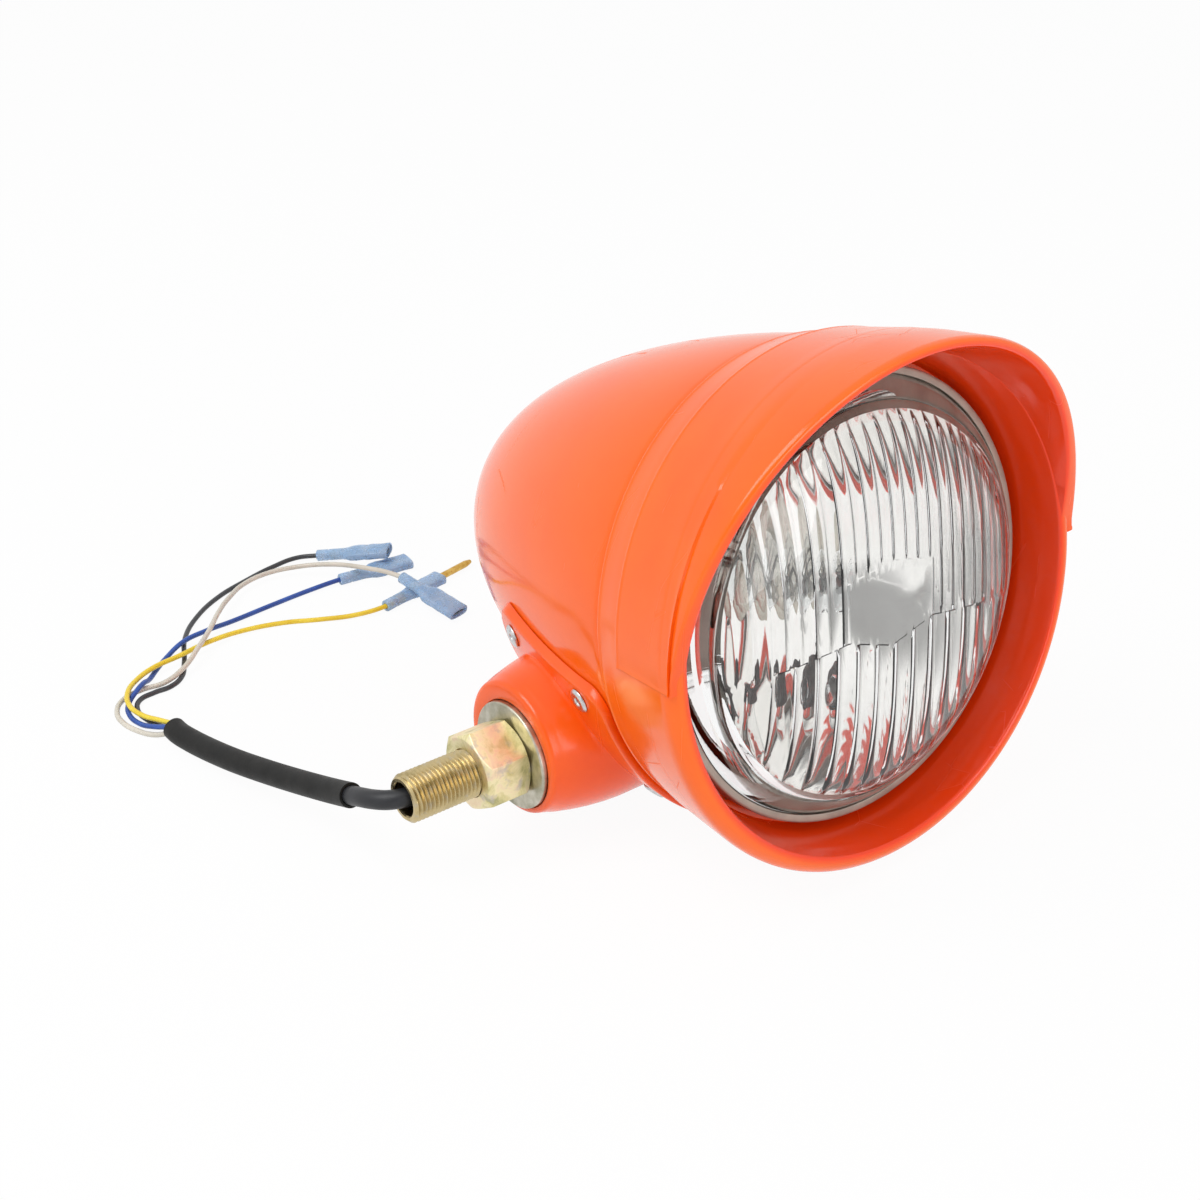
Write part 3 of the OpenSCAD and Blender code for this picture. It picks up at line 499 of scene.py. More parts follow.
def bootFrame(lead):
    return (Matrix.Translation(lead["bootAt"]) @ rotated(lead["yaw"], "Z")
            @ rotated(-lead["tilt"], "Y") @ scaled)


def addLead(colour, lead):
    curve = bpy.data.curves.new("wire_" + colour, "CURVE")
    curve.dimensions = "3D"
    curve.bevel_depth = leadRadius
    curve.bevel_resolution = 5
    curve.resolution_u = 8
    curve.use_fill_caps = True
    intoBoot = [bootFrame(lead) @ Vector((x, 0, 0)) for x in (0, bootSize["entry"])]
    spots = [Vector(p) for p in lead["route"]] + intoBoot
    spline = curve.splines.new("BEZIER")
    spline.bezier_points.add(len(spots) - 1)
    for point, spot in zip(spline.bezier_points, spots):
        point.co = spot
        point.handle_left_type = point.handle_right_type = "AUTO"
    curve.materials.append(made[colour + "Pvc"])
    return newPiece("wire_" + colour, curve, "root")


# A flattened round: a circle at corner 2, and a rounded oblong as its corners fill out.
def flatRing(x, halfWide, halfHigh, corner, sides=40):
    full = [[math.copysign(abs(part) ** (2 / corner), part) for part in pair] for pair in roundTurn(sides)]
    return [Vector((x, halfWide * wide, halfHigh * high)) for wide, high in full]


def addBoot(colour, lead):
    size = bootSize
    half, high, neck, wall = size["width"][colour] / 2, size["height"] / 2, size["neckRadius"], size["wall"]
    length = size["length"]
    outside = [(0.0, neck - 0.35, neck - 0.35, 2), (0.25, neck, neck, 2), (4.4, neck, neck, 2),
               (5.0, neck - 0.25, neck - 0.25, 2), (5.6, neck, neck, 2), (size["neckEnd"], neck, neck, 2),
               (11, neck * 1.2, high, 2.2), (13, (neck + half) / 2, high - 0.1, 2.5),
               (size["flatFrom"], half - 0.15, high - 0.05, 3), (18, half, high, 3.4),
               (21, half - 0.1, high - 0.25, 3.4), (23, half, high, 3.4), (27, half - 0.05, high - 0.2, 3.4),
               (length - 0.4, half, high, 3.4), (length, half - 0.3, high - 0.3, 3.4)]
    inside = [(length, half - wall, high - wall, 3.2), (21, half - wall, high - wall - 0.15, 3.2),
              (size["flatFrom"], half - wall - 0.1, high - wall, 3), (12.4, neck * 0.9, high - wall, 2.2),
              (10.6, 1.7, 1.4, 2), (9, 1.15, 1.15, 2), (0.6, 1.0, 1.0, 2), (0.0, 1.15, 1.15, 2)]
    bm = loft([flatRing(*row) for row in outside + inside], closed=True)
    return finishPiece(bm, "boot_" + colour, "root", "bootVinyl", bootFrame(lead), sharp=60)


terminalSize = {"barrel": 1.35, "barrelFrom": 6, "crimp": 1.05, "waist": 1.1, "waistEnd": 15.6,
                "half": 3.6, "roll": 0.95, "sheet": 0.4, "middle": 1.2,
                "slices": [(15, 0.96), (15.4, 1), (29.6, 1), (30, 0.97)]}


# Push-on terminal: a flat tongue whose edges roll back over it, and a crimped barrel on the lead.
def addTerminal(colour, lead):
    size = terminalSize
    roll, half, sheet, barrel, crimp = [size[key] for key in ("roll", "half", "sheet", "barrel", "crimp")]
    sweep = [math.radians(d) for d in range(-90, 151, 20)]
    around = [(roll, a) for a in sweep] + [(roll - sheet, a) for a in reversed(sweep)]
    right = [(half - roll + r * math.cos(a), r * math.sin(a)) for r, a in around]
    right += [(size["middle"], -roll + sheet)]
    section = right + [(-y, z) for y, z in reversed(right)]
    bm = loft([[Vector((x, y * share, z * share)) for y, z in section] for x, share in size["slices"]])
    first, end, waist = size["barrelFrom"], size["waistEnd"], size["waist"]
    profile = [(0.01, first), (barrel, first, 0.2), (barrel, 8), (crimp, 8.8, 0.3), (barrel, 9.6),
               (barrel, 11), (waist, 12, 0.3), (waist, end), (0.01, end)]
    neck = turned(soften(profile), 24)
    bmesh.ops.transform(neck, matrix=alongX, verts=neck.verts)
    joinInto(bm, neck)
    return finishPiece(bm, "terminal_" + colour, "root", "tinnedBrass", bootFrame(lead))


pinSize = {"barrel": 1.35, "barrelFrom": 6, "neck": 1.0, "pin": 1.4, "groove": 1.25, "nose": 0.8,
           "noseEnd": 18}


# Round brass pin: crimp, thin waist, thick barrel with a bullet end.
def addPin(lead):
    reach = bootSize["length"]
    barrel, first, neck, pin = [pinSize[key] for key in ("barrel", "barrelFrom", "neck", "pin")]
    end = reach + pinSize["noseEnd"]
    profile = [(0.01, first), (barrel, first, 0.2), (barrel, 12.4, 0.3), (neck, 13, 0.3),
               (neck, reach + 0.4, 0.2), (pin, reach + 1, 0.3), (pin, reach + 5, 0.2),
               (pinSize["groove"], reach + 5.4, 0.2), (pin, reach + 5.8, 0.2), (pin, reach + 15, 0.8),
               (pinSize["nose"], end, 0.5), (0.01, end)]
    bm = turned(soften(profile), 32)
    return finishPiece(bm, "pin_yellow", "root", "pinBrass", bootFrame(lead) @ alongX)


for colour, lead in leads.items():
    wire = addLead(colour, lead)
    boot = addBoot(colour, lead)
    end = addPin(lead) if colour == "yellow" else addTerminal(colour, lead)
print("cable, leads, boots and terminals made")


# Housing. Profiles are (radius, distance behind the rim, rounding).
shell = {"radius": 77.3, "length": 145, "wall": 2.5, "front": 27, "fullness": (1.38, 2.37),
         "holeRadius": 17, "holeAt": -40, "holeDepth": 80, "holeSides": 64}


def shellRadius(y, radius=shell["radius"], length=shell["length"]):
    u = min(max((y - shell["front"]) / length, 0), 1)
    return radius * (1 - u ** shell["fullness"][0]) ** (1 / shell["fullness"][1])


def bullet(radius, length, count=56):
    ways = [shell["front"] + length * math.sin(math.radians(90 * i / count)) for i in range(1, count + 1)]
    return [(shellRadius(y, radius, length), y) for y in ways]


# Drills a round hole through a piece on the head, along the Z axis of the place.
def drill(piece, radius, depth, place, sides):
    hole = bmesh.new()
    bmesh.ops.create_cone(hole, cap_ends=True, segments=sides, radius1=radius, radius2=radius, depth=depth,
                          matrix=place)
    bmesh.ops.transform(hole, matrix=headPlace, verts=hole.verts)
    cutter = addObject("hole", toMesh(hole, "hole"))
    change = piece.modifiers.new("cut", "BOOLEAN")
    change.operation = "DIFFERENCE"
    change.solver = "EXACT"
    change.object = cutter
    graph = bpy.context.evaluated_depsgraph_get()
    drilled = bpy.data.meshes.new_from_object(piece.evaluated_get(graph))
    piece.modifiers.clear()
    old, piece.data = piece.data, drilled
    drilled.name = old.name
    bpy.data.meshes.remove(old)
    bpy.data.objects.remove(cutter)


def addRearShell():
    radius, length, wall, front = shell["radius"], shell["length"], shell["wall"], shell["front"]
    outside = [(radius - 0.9, front + 0.1), (radius - 0.35, front + 0.35), (radius - 0.05, front + 1.1)]
    inside = bullet(radius - wall, length - wall)[::-1] + [(radius - wall, front + 0.2)]
    bm = turned(inside + outside + bullet(radius, length), 160)
    piece = finishPiece(bm, "rear_shell", "head", "shellEnamel", headPlace, sharp=40)
    middle = Matrix.Translation((shell["holeAt"], lamp["studBack"], -lamp["studDrop"]))
    drill(piece, shell["holeRadius"], shell["holeDepth"], middle @ rotated(90, "Y"), shell["holeSides"])


addRearShell()

# Hood: a turned ring, and over it a visor whose lip draws back towards its ends, which carry a fine bead.
hood = {
    "ring": [(78.4, 26.9, 0.3), (78.75, 26.2, 0.3), (78.6, 25.3, 0.4), (78.8, 24, 0.6), (79.4, 21, 1.2),
             (80.1, 18, 1.2), (80.8, 14.4, 1.6), (84.2, -9, 1.5), (84, -11.5, 1.2), (82.5, -13.5, 1.2),
             (80.8, -14.5, 1), (79.2, -14.5, 0.7), (78.1, -14, 0.6), (74.6, 0, 1.5), (74, 7.3, 0.3),
             (67, 7.3, 0.3), (67, 9.5, 0.3), (76.3, 9.5, 0.8), (76.9, 0, 1), (79.8, -11, 1), (81.4, -10, 0.6),
             (78.4, 14.4, 1), (77, 24, 0.5), (72.5, 24, 0.3), (71.9, 34.9, 0.3), (73.9, 34.9, 0.3),
             (74.5, 26.9, 0.3)],
    "visor": [(81.4, 14.6, 0.12), (81.65, 13.7, 0.3), (81.5, 13.0, 0.3), (84.4, -12, 1.5), (85, -20, 2),
              (85.4, -36.9, 0.8), (84.7, -38.9, 0.8), (82.7, -38.9, 1), (82, -37.3, 1.2), (78.1, -14, 0),
              (79.6, -12.6, 0), (82.8, -11.6, 0), (79.8, 14.4, 0)],
    "edgeFrom": -13, "tip": -38.9, "reach": 24.4, "leastReach": 0.8, "curve": 1.15, "slices": 116,
    "edgeSpan": (79.2, 84.4), "tipSpan": (82, 85.4), "slantFrom": 0.2,
    "endAngle": 89.5, "bead": 0.28, "beadOutside": 81.5,
    "beadShape": [(0, 0), (0.12, 0.7), (0.4, 1), (0.7, 0.75), (1.0, 0.1), (1.3, 0)],
    # Painted shade: how strongly faces that look inwards take the hood's deeper red inside colour.
    "insideFrom": 0.4, "insideGain": 1.6,
}


# The visor's outline at an angle from its top: its lip reaches less far and tapers as it nears the ends.
def visorStation(angle, profile, bead):
    c, s = cosSin(angle)
    run = max(max(c, 0) ** hood["curve"] * hood["reach"], hood["leastReach"])
    share = run / hood["reach"]
    low, high = [edge + (tip - edge) * share for edge, tip in zip(hood["edgeSpan"], hood["tipSpan"])]
    tipLow, tipHigh = hood["tipSpan"]
    ring = []
    for radius, y in profile:
        ahead = max(0, (y - hood["edgeFrom"]) / (hood["tip"] - hood["edgeFrom"]))
        y = hood["edgeFrom"] - run * ahead if ahead else y
        proud = bead if radius > hood["beadOutside"] else 0
        if ahead > hood["slantFrom"]:
            radius = low + (radius - tipLow) / (tipHigh - tipLow) * (high - low)
        ring.append(Vector(((radius + proud) * s, y, (radius + proud) * c)))
    return ring


def addHood():
    bm = turned(soften(hood["ring"]), 160)
    profile = soften(hood["visor"], 4)
    end, slices, beadShape = hood["endAngle"], hood["slices"], hood["beadShape"]
    plain = end - beadShape[-1][0]
    turns = [(out - end, share) for out, share in beadShape]
    turns += [(2 * plain * k / slices - plain, 0) for k in range(1, slices)]
    turns += [(end - out, share) for out, share in reversed(beadShape)]
    joinInto(bm, loft([visorStation(angle, profile, hood["bead"] * share) for angle, share in turns]))
    piece = finishPiece(bm, "front_hood", "head", "hoodAbs", headPlace, sharp=38)
    # Painted shade: each point gets how far its face looks inwards, which mixes in the hood's deeper red
    # inside colour.
    mark = piece.data.attributes.new("inside", "FLOAT", "POINT")   # 1 where a face looks inwards
    back = headPlace.inverted()
    level = back.to_3x3()
    for vertex in piece.data.vertices:
        spot = back @ vertex.co
        normal = (level @ vertex.normal).normalized()
        outward = (normal.x * spot.x + normal.z * spot.z) / math.hypot(spot.x, spot.z)
        mark.data[vertex.index].value = min(1, max(0, hood["insideFrom"] - hood["insideGain"] * outward))


addHood()
print("rear shell and front hood made")

# Foot of the swivel: flared round boss along the stud, square flange wrapped round the shell.
saddle = {"angle": 40, "across": 39, "along": 35, "fore": 4.5, "corner": 8, "thick": 3, "lift": 0.2,
          "bossRadius": 22.4, "bossMiddle": (1.1, 1.6), "bossWall": 3, "flare": 5.1, "flareFrom": 2.9,
          "flareEnd": 32, "flareCurve": 1.8, "recessRadius": 18.3, "recessFloor": 3, "front": 1.8,
          "boreRadius": 8, "back": 7, "spokes": 160,
          "lip": [(0, -1.75), (0.1, -1.25), (0.35, -0.7), (0.75, -0.28), (1.4, 0.02), (2.4, 0.2)],
          "neck": (0.1, 0.22, 0.36, 0.5, 0.64, 0.78, 0.9, 0.97),
          "fillet": [(0.02, 0.45), (0.1, 0.14), (0.3, 0.02), (0.7, 0)], "filletReach": 1.1}


# A place on the shell: across and along the flange from its middle, lifted off the shell's face.
def onShell(across, along, lift):
    y = lamp["studBack"] - saddle["fore"] + along
    depth = math.sqrt(max((shellRadius(y) + lift) ** 2 - across ** 2, 1))
    c, s = cosSin(saddle["angle"])
    return headFrame @ Vector((-c * depth - s * across, y, -s * depth + c * across))


# Across and along the flange for a place on the shell in the row frame, in mm.
def flangeSpot(spot):
    local = headFrame.inverted() @ spot
    c, s = cosSin(saddle["angle"])
    return Vector((-s * local.x + c * local.z, local.y - lamp["studBack"] + saddle["fore"]))


# Where a line along the stud at (y, z) meets the shell's face, lifted.
def shellDepth(y, z, lift):
    local = headFrame.inverted() @ Vector((0, y, z))
    return lamp["side"] - math.sqrt(max((shellRadius(local.y) + lift) ** 2 - local.z ** 2, 1))


# The flange's rounded outline in a spoke's direction, drawn in by inset.
def flangeEdge(c, s, inset):
    wide, long, corner = saddle["across"] - inset, saddle["along"] - inset, saddle["corner"] - inset
    straight = min(wide / max(abs(s), 0.001), long / max(abs(c), 0.001))
    if abs(s) * straight <= wide - corner or abs(c) * straight <= long - corner:
        return Vector((s, c)) * straight
    reach = abs(s) * (wide - corner) + abs(c) * (long - corner)
    rest = (wide - corner) ** 2 + (long - corner) ** 2 - corner ** 2
    return Vector((s, c)) * (reach + math.sqrt(max(reach ** 2 - rest, 0)))


# The boss flares as it nears the shell.
def bossRadius(x):
    share = min(max((x - saddle["flareFrom"]) / (saddle["flareEnd"] - saddle["flareFrom"]), 0), 1)
    return saddle["bossRadius"] + saddle["flare"] * (1 - (1 - share) ** saddle["flareCurve"])


def bossSpot(x, r, c, s):
    return Vector((x, saddle["bossMiddle"][0] + r * c, saddle["bossMiddle"][1] + r * s))


# Where the boss, made wider by out, meets the flange's face at a spoke.
def bossFoot(c, s, out, lift):
    x = saddle["flareEnd"]
    for attempt in range(4):
        spot = bossSpot(x, bossRadius(x) + out, c, s)
        x = shellDepth(spot.y, spot.z, lift)
    return bossSpot(x, bossRadius(x) + out, c, s)


def addSaddle():
    size = saddle
    spokes = roundTurn(size["spokes"])
    boss, rim, bore = size["bossRadius"], size["recessRadius"], size["boreRadius"]
    front, floor = size["front"], size["recessFloor"]
    level = [(size["back"], bore), (floor + 0.3, bore), (floor, bore + 0.3), (floor, 12), (floor, rim - 0.3),
             (floor - 0.15, rim), (front + 0.25, rim + 0.02), (front + 0.06, rim + 0.1), (front, rim + 0.26)]
    stations = [[Vector((x, r * c, r * s)) for c, s in spokes] for x, r in level]
    stations += [[bossSpot(front + x, boss + r, c, s) for c, s in spokes] for x, r in size["lip"]]
    low, top = size["lift"], size["lift"] + size["thick"]
    neckFrom = front + size["lip"][-1][0]
    for share in size["neck"]:
        ring = []
        for c, s in spokes:
            foot = bossFoot(c, s, 0, top).x - 0.5
            x = neckFrom + (foot - neckFrom) * share
            ring.append(bossSpot(x, bossRadius(x), c, s))
        stations.append(ring)
    for out, up in size["fillet"]:
        stations.append([bossFoot(c, s, out, top) - Vector((up, 0, 0)) for c, s in spokes])
    footRing = [flangeSpot(bossFoot(c, s, size["filletReach"], top)) for c, s in spokes]
    edge = [(0, 0, top), (0.3, 0, top), (0.6, 0, top), (0.85, 0, top), (1, 1.1, top), (1, 0.5, top - 0.06),
            (1, 0.12, top - 0.35), (1, 0, top - 0.8), (1, 0, low + 0.5), (1, 0.15, low + 0.15), (1, 0.5, low),
            (0.6, 0.5, low), (0.2, 0.5, low)]
    for share, inset, lift in edge:
        ring = []
        for (c, s), foot in zip(spokes, footRing):
            spot = foot.lerp(flangeEdge(c, s, inset), share)
            ring.append(onShell(spot.x, spot.y, lift))
        stations.append(ring)
    stations.append([bossFoot(c, s, -size["bossWall"], low) for c, s in spokes])
    inner = boss - size["bossWall"]
    for x, r in ((size["back"] + 0.6, inner), (size["back"], inner - 0.6)):
        stations.append([bossSpot(x, r, c, s) for c, s in spokes])
    finishPiece(loft(stations, closed=True), "mount_saddle", "head", "saddleAbs", sharp=35)


addSaddle()

# Blind rivets: a dished head round a dark hole. A place is a turn from the flange's middle and a way back.
rivets = {"places": [(-25.5, -26), (-28.5, 20), (9.5, -26), (25.5, 25.5)], "seat": 0.1,
          "profile": [(0.01, -3.2), (1.25, -3.2, 0.2), (1.3, 0.55, 0.15), (1.65, 0.95, 0.2), (2.2, 1.05, 0.3),
                      (2.75, 1.0, 0.2), (3.0, 1.08, 0.2), (3.5, 0.85, 0.35), (4, 0.3, 0.3), (4, 0, 0.1),
                      (2, 0), (2, -5.7), (3, -5.9, 0.4), (2.8, -8.1, 0.6), (0.01, -8.1)]}


def addRivets():
    bm = bmesh.new()
    for turnBy, back in rivets["places"]:
        y = lamp["studBack"] + back
        slope = math.atan((shellRadius(y + 1) - shellRadius(y - 1)) / 2)
        out = shellRadius(y) + saddle["lift"] + saddle["thick"]
        place = (headPlace @ rotated(180 - saddle["angle"] - turnBy, "Y")
                 @ Matrix.Translation((out, y, 0)) @ Matrix.Rotation(-slope, 4, "Z")
                 @ Matrix.Translation((rivets["seat"], 0, 0)) @ alongX)
        one = turned(soften(rivets["profile"]), 40)
        bmesh.ops.transform(one, matrix=place, verts=one.verts)
        joinInto(bm, one)
    finishPiece(bm, "saddle_rivets", "head", "rivetAluminium", Matrix.Identity(4))


addRivets()
print("foot and its rivets made")

stud = {"end": -39.7, "threadTo": -15.5, "pitch": 1.5, "crest": 7.98, "root": 7.12, "bore": 5.5,
        "chamfer": 1.1, "chamferRoot": 6.87, "shank": 7.95, "head": 15, "headSpan": (8.5, 12.5), "steps": 72,
        "tooth": [(0.0, 0.0), (0.36, 0.62), (0.44, 0.92), (0.5, 1.0), (0.56, 0.92), (0.64, 0.62)]}


# The thread is one tooth profile repeated, swept round as a screw, then trimmed square and chamfered.
def addStud():
    size = stud
    bm = bmesh.new()
    first, last = size["end"] - 2 * size["pitch"], size["threadTo"] + size["pitch"]
    teeth = int((last - first) / size["pitch"])
    rows = [(size["root"] + (size["crest"] - size["root"]) * h, first + (i + t) * size["pitch"])
            for i in range(teeth) for t, h in size["tooth"]]
    lathe(bm, rows, size["steps"], closed=False, rise=size["pitch"])
    bmesh.ops.remove_doubles(bm, verts=bm.verts, dist=0.002)
    for cut, side in ((size["end"], -1), (size["threadTo"], 1)):
        bmesh.ops.bisect_plane(bm, geom=bm.verts[:] + bm.edges[:] + bm.faces[:], plane_co=(0, cut, 0),
                               plane_no=(0, side, 0), clear_outer=True)
    for vert in bm.verts:
        radius = math.hypot(vert.co.x, vert.co.z)
        rise = (vert.co.y - size["end"]) / size["chamfer"] * (size["crest"] - size["chamferRoot"])
        if radius > size["chamferRoot"] + rise:
            vert.co.x *= (size["chamferRoot"] + rise) / radius
            vert.co.z *= (size["chamferRoot"] + rise) / radius
    shank, head, bore, (headFrom, headTo) = [size[key] for key in ("shank", "head", "bore", "headSpan")]
    rest = [(shank, size["threadTo"]), (shank, headFrom), (head, headFrom), (head, headTo), (bore, headTo),
            (bore, size["end"] + 0.5), (bore + 0.35, size["end"])]
    lathe(bm, rest, size["steps"], closed=False)
    bmesh.ops.remove_doubles(bm, verts=bm.verts, dist=0.0004)
    ends = [e for e in bm.edges if e.is_boundary]
    for place in (size["end"], size["threadTo"]):
        bmesh.ops.bridge_loops(bm, edges=[e for e in ends if abs(e.verts[0].co.y - place) < 0.01])
    bmesh.ops.recalc_face_normals(bm, faces=bm.faces)
    finishPiece(bm, "stud", "root", "studZinc", studPlace, sharp=28)


addStud()


# The nut keeps the CAD's hexagon and chamfers, with its edges broken as a tumbled forging's are.
def addNut():
    bm = bmesh.new()
    bm.from_mesh(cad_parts["stud_nut"].data)
    bmesh.ops.remove_doubles(bm, verts=bm.verts, dist=0.000002)
    bmesh.ops.dissolve_limit(bm, angle_limit=math.radians(1), verts=bm.verts, edges=bm.edges)
    corners = [e for e in bm.edges if len(e.link_faces) == 2 and e.calc_face_angle(0) > math.radians(22)]
    bmesh.ops.bevel(bm, geom=corners, offset=0.28 * mm, offset_type="OFFSET", segments=2, profile=0.5,
                    affect="EDGES", material=-1, clamp_overlap=True)
    finishPiece(bm, "stud_nut", "nut", "nutZinc", Matrix.Identity(4), sharp=24)


addNut()

washer = {"profile": [(8.3, 0, 0.25), (17.6, 0, 0.3), (18, 0.4, 0.3), (18, 2.75, 0.3), (17.75, 3, 0.2),
                      (8.3, 3, 0.2)]}
finishPiece(turned(soften(washer["profile"]), 120), "stud_washer", "washer", "washerZinc",
            studPlace)
print("stud, nut and washer made")


# Lens: pressed flutes on the inside, smooth dome outside, turned a little in its rim as it was fitted.
# The band's upper and lower line each have a height, a bow over the patch and a climb over a width beside it.
lens = {"domeRadius": 62.6, "domePowers": (3, 0.625), "crown": 18, "shoulder": 5.7, "glass": 3.5, "turned": 3,
        "cut": 0.6, "row": 2.4, "rowsUp": 20, "rowsDown": 22, "rowsBand": 7, "step": 0.25,
        "pitch": 5.1, "lowPitch": 7.6, "deep": 0.62, "bandShare": 0.8, "lowShare": 1.35,
        "patch": 17.5, "patchDeep": 0.25, "upper": (12.9, 3.3, 3.4, 42), "lower": (-5.6, -5.2, -4.6, 38),
        "bend": 16, "bendPower": 10, "fade": 1.6,
        "edge": [(59.7, 4.0), (68.7, 4.0), (69.1, 3.6), (69.1, 0.9), (68.8, 0.2), (67.9, -1.3), (66.6, -3.0),
                 (65.1, -4.5), (64.0, -5.3), (63.3, -5.55), (62.9, -5.2), (62.65, -5.2), (62.5, -5.9)],
        "dome": (62.2, 61.7, 61, 60, 58.5, 56.5, 54, 51, 47, 42, 35, 27, 18, 9, 0.5)}


def domeAt(radius):
    inner, outer = lens["domePowers"]
    share = max(0, 1 - (radius / lens["domeRadius"]) ** inner)
    return -lens["shoulder"] - (lens["crown"] - lens["shoulder"]) * share ** outer


def bandLine(name, x):
    height, bow, climb, width = lens[name]
    past = abs(x) - lens["patch"]
    return height + (bow * -past / lens["patch"] if past < 0 else climb * past / width)


def fluteHeight(x, z):
    pitch, deep = lens["pitch"], lens["deep"]
    if bandLine("lower", x) < z < bandLine("upper", x):
        if abs(x) < lens["patch"]:
            return lens["patchDeep"]
        deep *= lens["bandShare"]
    elif z < bandLine("upper", x):
        pitch, deep = lens["lowPitch"], deep * lens["lowShare"]
    share = (x / pitch) % 1
    return deep * (1 - (2 * share - 1) ** 2)


def cutAcross(bm, at, way):
    bmesh.ops.bisect_plane(bm, geom=bm.verts[:] + bm.edges[:] + bm.faces[:], dist=0.0001, plane_co=at,
                           plane_no=way)


def addLens():
    size = lens
    rimRadius = size["domeRadius"] - size["glass"]
    bm = bmesh.new()
    bmesh.ops.create_circle(bm, cap_ends=True, segments=192, radius=rimRadius, matrix=rotated(90, "X"))
    columns = int(rimRadius / size["cut"])
    for k in range(-columns, columns + 1):
        cutAcross(bm, (k * size["cut"], 0, 0), (1, 0, 0))
    upRow, lowRow, step = size["upper"][0], size["lower"][0], size["step"]
    rows = [upRow - step, upRow + step, lowRow - step, lowRow + step]
    rows += [upRow + step + size["row"] * k for k in range(1, size["rowsUp"])]
    rows += [lowRow - step - size["row"] * k for k in range(1, size["rowsDown"])]
    low, high, count = lowRow + step, upRow - step, size["rowsBand"]
    rows += [low + (high - low) * k / count for k in range(1, count)]
    for z in rows:
        cutAcross(bm, (0, 0, z), (0, 0, 1))
    for vert in bm.verts:
        x, z = vert.co.x, vert.co.z
        inward = 1 - (math.hypot(x, z) / rimRadius) ** size["bendPower"]
        up = max(0, 1 - abs(z - upRow) / size["bend"]) * (bandLine("upper", x) - upRow)
        down = max(0, 1 - abs(z - lowRow) / size["bend"]) * (bandLine("lower", x) - lowRow)
        z += (up + down) * inward
        radius = min(math.hypot(x, z), rimRadius)
        fade = min(1, (rimRadius - radius) / size["fade"])
        vert.co = Vector((x, domeAt(radius) + size["glass"] + fluteHeight(x, z) * fade, z))
    lines = [e for e in bm.edges if e.is_boundary]
    for radius, y in size["edge"] + [(r, domeAt(r)) for r in size["dome"]]:
        lines, fresh = grow(bm, lines)
        for vert in fresh:
            reach = math.hypot(vert.co.x, vert.co.z)
            vert.co = Vector((vert.co.x * radius / reach, y, vert.co.z * radius / reach))
    middle = list({v for line in lines for v in line.verts})
    bmesh.ops.pointmerge(bm, verts=middle, merge_co=(0, domeAt(0), 0))
    bmesh.ops.recalc_face_normals(bm, faces=bm.faces)
    place = headPlace @ rotated(size["turned"], "Y")
    finishPiece(bm, "lens", "head", "lensGlass", place, sharp=24)


addLens()

reflector = {"rim": 72, "rimInner": 69.4, "depth": 7, "sheet": 1, "focal": 22, "bowl": 62, "satinFrom": 63.5,
             "neck": 19, "neckEnd": 53.6, "steps": 44, "parkAt": (0, 39, -38), "parkRadius": 6.8,
             "parkDepth": 40, "parkSides": 48}


def bowlAt(radius):
    vertex = reflector["depth"] - reflector["sheet"] + reflector["bowl"] ** 2 / (4 * reflector["focal"])
    return vertex - radius ** 2 / (4 * reflector["focal"])


def addReflector():
    size = reflector
    sheet, rim, count = size["sheet"], size["rim"], size["steps"]
    bowl = [(size["bowl"] + (size["neck"] - size["bowl"]) * k / count) for k in range(count + 1)]
    profile = [(size["rimInner"], 0.1, 0.2), (rim, 0, 0.9), (rim, size["depth"], 0.6)]
    profile += [(r + 0.7, bowlAt(r + 0.7) + sheet) for r in bowl[:-1]]
    profile += [(size["neck"] + sheet, size["neckEnd"], 0.2), (size["neck"], size["neckEnd"], 0.2)]
    profile += [(r, bowlAt(r)) for r in reversed(bowl)]
    profile += [(rim - sheet, size["depth"] - sheet, 0.4), (rim - sheet, 0.8, 0.3)]
    profile += [(size["rimInner"], 0.8, 0.2)]
    piece = finishPiece(turned(soften(profile), 128), "reflector", "head",
                        "reflectorSilver", headPlace, sharp=40)
    piece.data.materials.append(made["rimSatin"])
    back = headPlace.inverted()
    for face in piece.data.polygons:
        spot = back @ face.center
        if math.hypot(spot.x, spot.z) > size["satinFrom"]:
            face.material_index = 1
    along = Matrix.Translation(size["parkAt"]) @ rotated(90, "X")
    drill(piece, size["parkRadius"], size["parkDepth"], along, size["parkSides"])


addReflector()
print("lens and reflector made")

# CAD pieces that keep their shape and get the material of the real one.
kept = {"friction_washer": "springSteel", "cable_bush": "blackRubber", "lens_gasket": "sealRubber",
        "spring_clips": "clipSteel", "clip_rivets": "rivetAluminium", "bulb_base": "capMetal",
        "bulb_glass": "bulbGlass", "bulb_filaments": "tungsten", "dip_shield": "shieldMetal",
        "bulb_contacts": "tinnedBrass", "bulb_ring": "clipSteel", "bulb_connector": "plugNylon",
        "parking_holder": "holderPhenolic", "parking_bulb": "bulbGlass", "parking_base": "capMetal",
        "lead_main": "blackPvc", "lead_dipped": "whitePvc", "lead_earth": "bluePvc",
        "lead_parking": "yellowPvc"}
for node, finish in kept.items():
    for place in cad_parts[node].material_slots:
        place.material = made[finish]
print("kept CAD pieces finished:", len(kept))


# Floor, light and background: a white sweep with soft light from above and the left.
studio = {"floor": -0.0315, "paper": 0.95, "sky": 0.54, "room": 0.3, "roomEdge": (0.84, 0.98),
          "lamps": {"keyLight": {"power": 9.5, "at": (-0.7, 0.15, 1.15), "size": 0.8},
                    "fillLight": {"power": 6, "at": (0.2, -1.3, 0.5), "size": 0.8}},
          "aim": (0.06, 0, 0.03)}


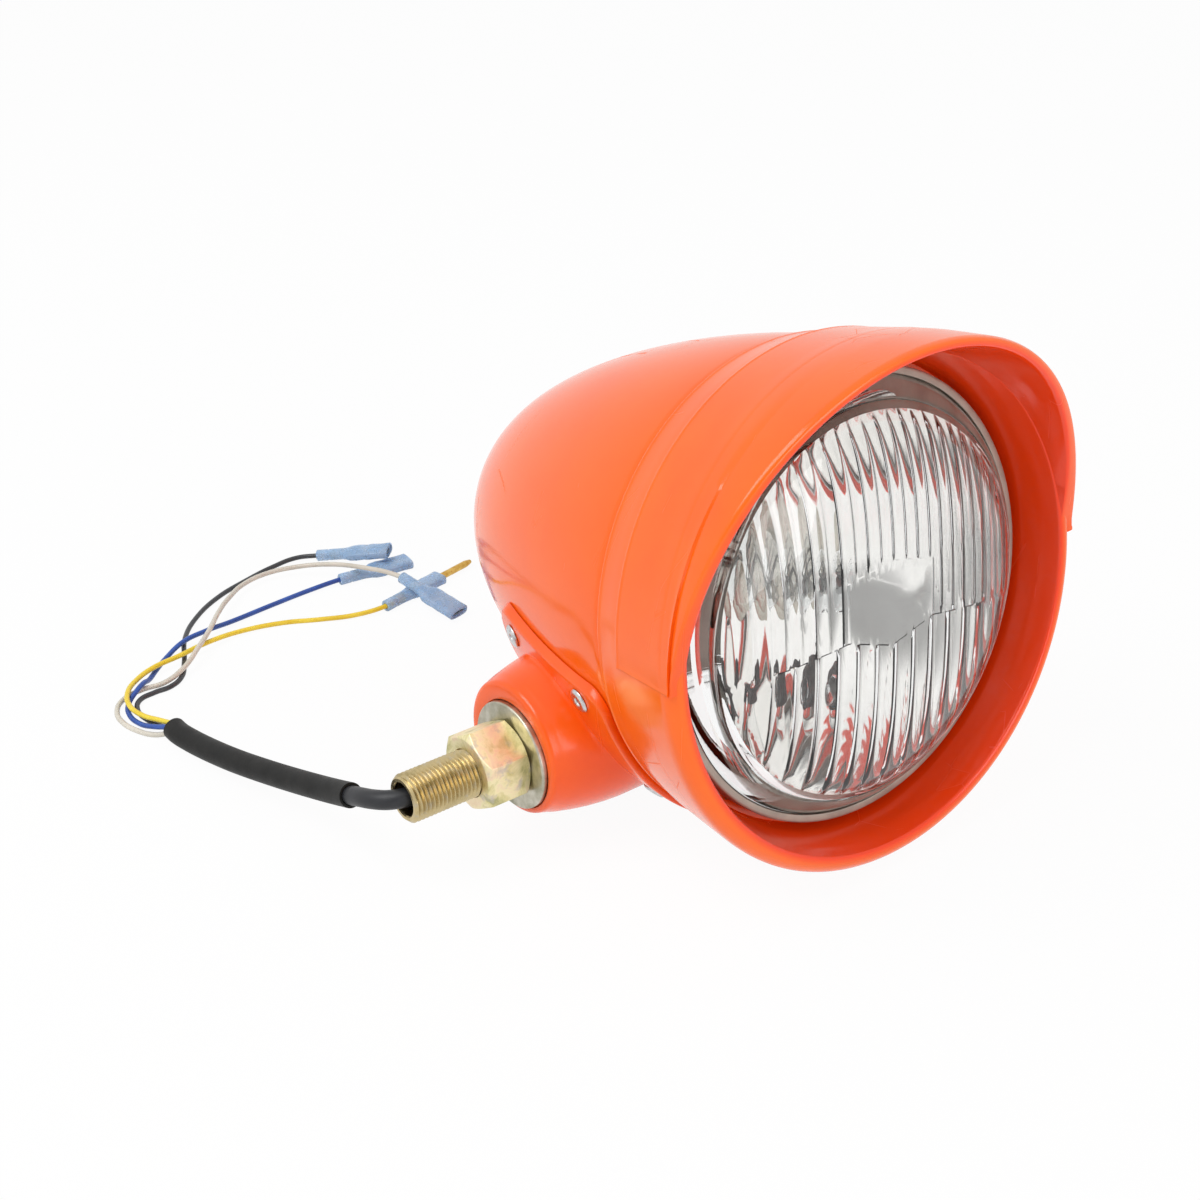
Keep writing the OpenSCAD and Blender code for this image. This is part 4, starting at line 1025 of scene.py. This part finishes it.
# Matt white paper sweep, which the camera, mirrors and glass see lit to white.
def addFloor():
    bm = bmesh.new()
    bmesh.ops.create_grid(bm, x_segments=1, y_segments=1, size=4,
                          matrix=Matrix.Translation((0, 0, studio["floor"])))
    mesh = toMesh(bm, "floor")
    addObject("floor", mesh)
    material = bpy.data.materials.new("floorPaper")
    tree = emptyTree(material)
    path = addNode(tree, "LightPath").outputs
    seen = path["Is Camera Ray"]
    for kind in ("Is Glossy Ray", "Is Transmission Ray"):
        seen = addNode(tree, "Math", {0: seen, 1: path[kind]}, {"operation": "MAXIMUM"}).outputs[0]
    share = addNode(tree, "Math", {0: seen, 1: studio["paper"]}, {"operation": "MULTIPLY"})
    paper = addNode(tree, "BsdfDiffuse", {"Color": toLinear("#F2F2F2")})
    glow = addNode(tree, "Emission", {"Color": (1, 1, 1, 1), "Strength": 1})
    both = addNode(tree, "MixShader", {0: share.outputs[0], 1: paper.outputs[0], 2: glow.outputs[0]})
    addNode(tree, "OutputMaterial", {"Surface": both.outputs[0]})
    mesh.materials.append(material)


def addLamp(name, values):
    data = bpy.data.lights.new(name, "AREA")
    data.energy = values["power"]
    data.shape = "SQUARE"
    data.size = values["size"]
    source = addObject(name, data)
    source.location = values["at"]
    source.visible_transmission = False
    source.rotation_euler = (Vector(studio["aim"]) - Vector(values["at"])).to_track_quat("-Z", "Y").to_euler()


# White to the camera, and elsewhere a soft sky that darkens behind the camera, where a real room is.
def addWorld():
    world = bpy.data.worlds.new("studio")
    bpy.context.scene.world = world
    tree = emptyTree(world)
    way = addNode(tree, "TexCoord").outputs["Generated"]
    facing = addNode(tree, "VectorMath", {0: way, 1: view["back"]}, {"operation": "DOT_PRODUCT"})
    room = addNode(tree, "MapRange", spread(facing.outputs["Value"], studio["roomEdge"], (1, studio["room"])),
                   {"interpolation_type": "SMOOTHSTEP"})
    path = addNode(tree, "LightPath").outputs
    mirrored = addNode(tree, "Math", {0: path["Is Glossy Ray"], 1: path["Is Transmission Ray"]},
                       {"operation": "MAXIMUM"})
    soft = addNode(tree, "Mix", {0: mirrored.outputs[0], 2: studio["sky"], 3: room.outputs[0]})
    strength = addNode(tree, "Mix", {0: path["Is Camera Ray"], 2: soft.outputs[0], 3: 1.0})
    sky = addNode(tree, "Background", {"Color": (1, 1, 1, 1), "Strength": strength.outputs[0]})
    addNode(tree, "OutputWorld", {"Surface": sky.outputs[0]})


addFloor()
for name, values in studio["lamps"].items():
    addLamp(name, values)
addWorld()
bpy.context.scene.view_settings.view_transform = "Standard"
print("studio set")
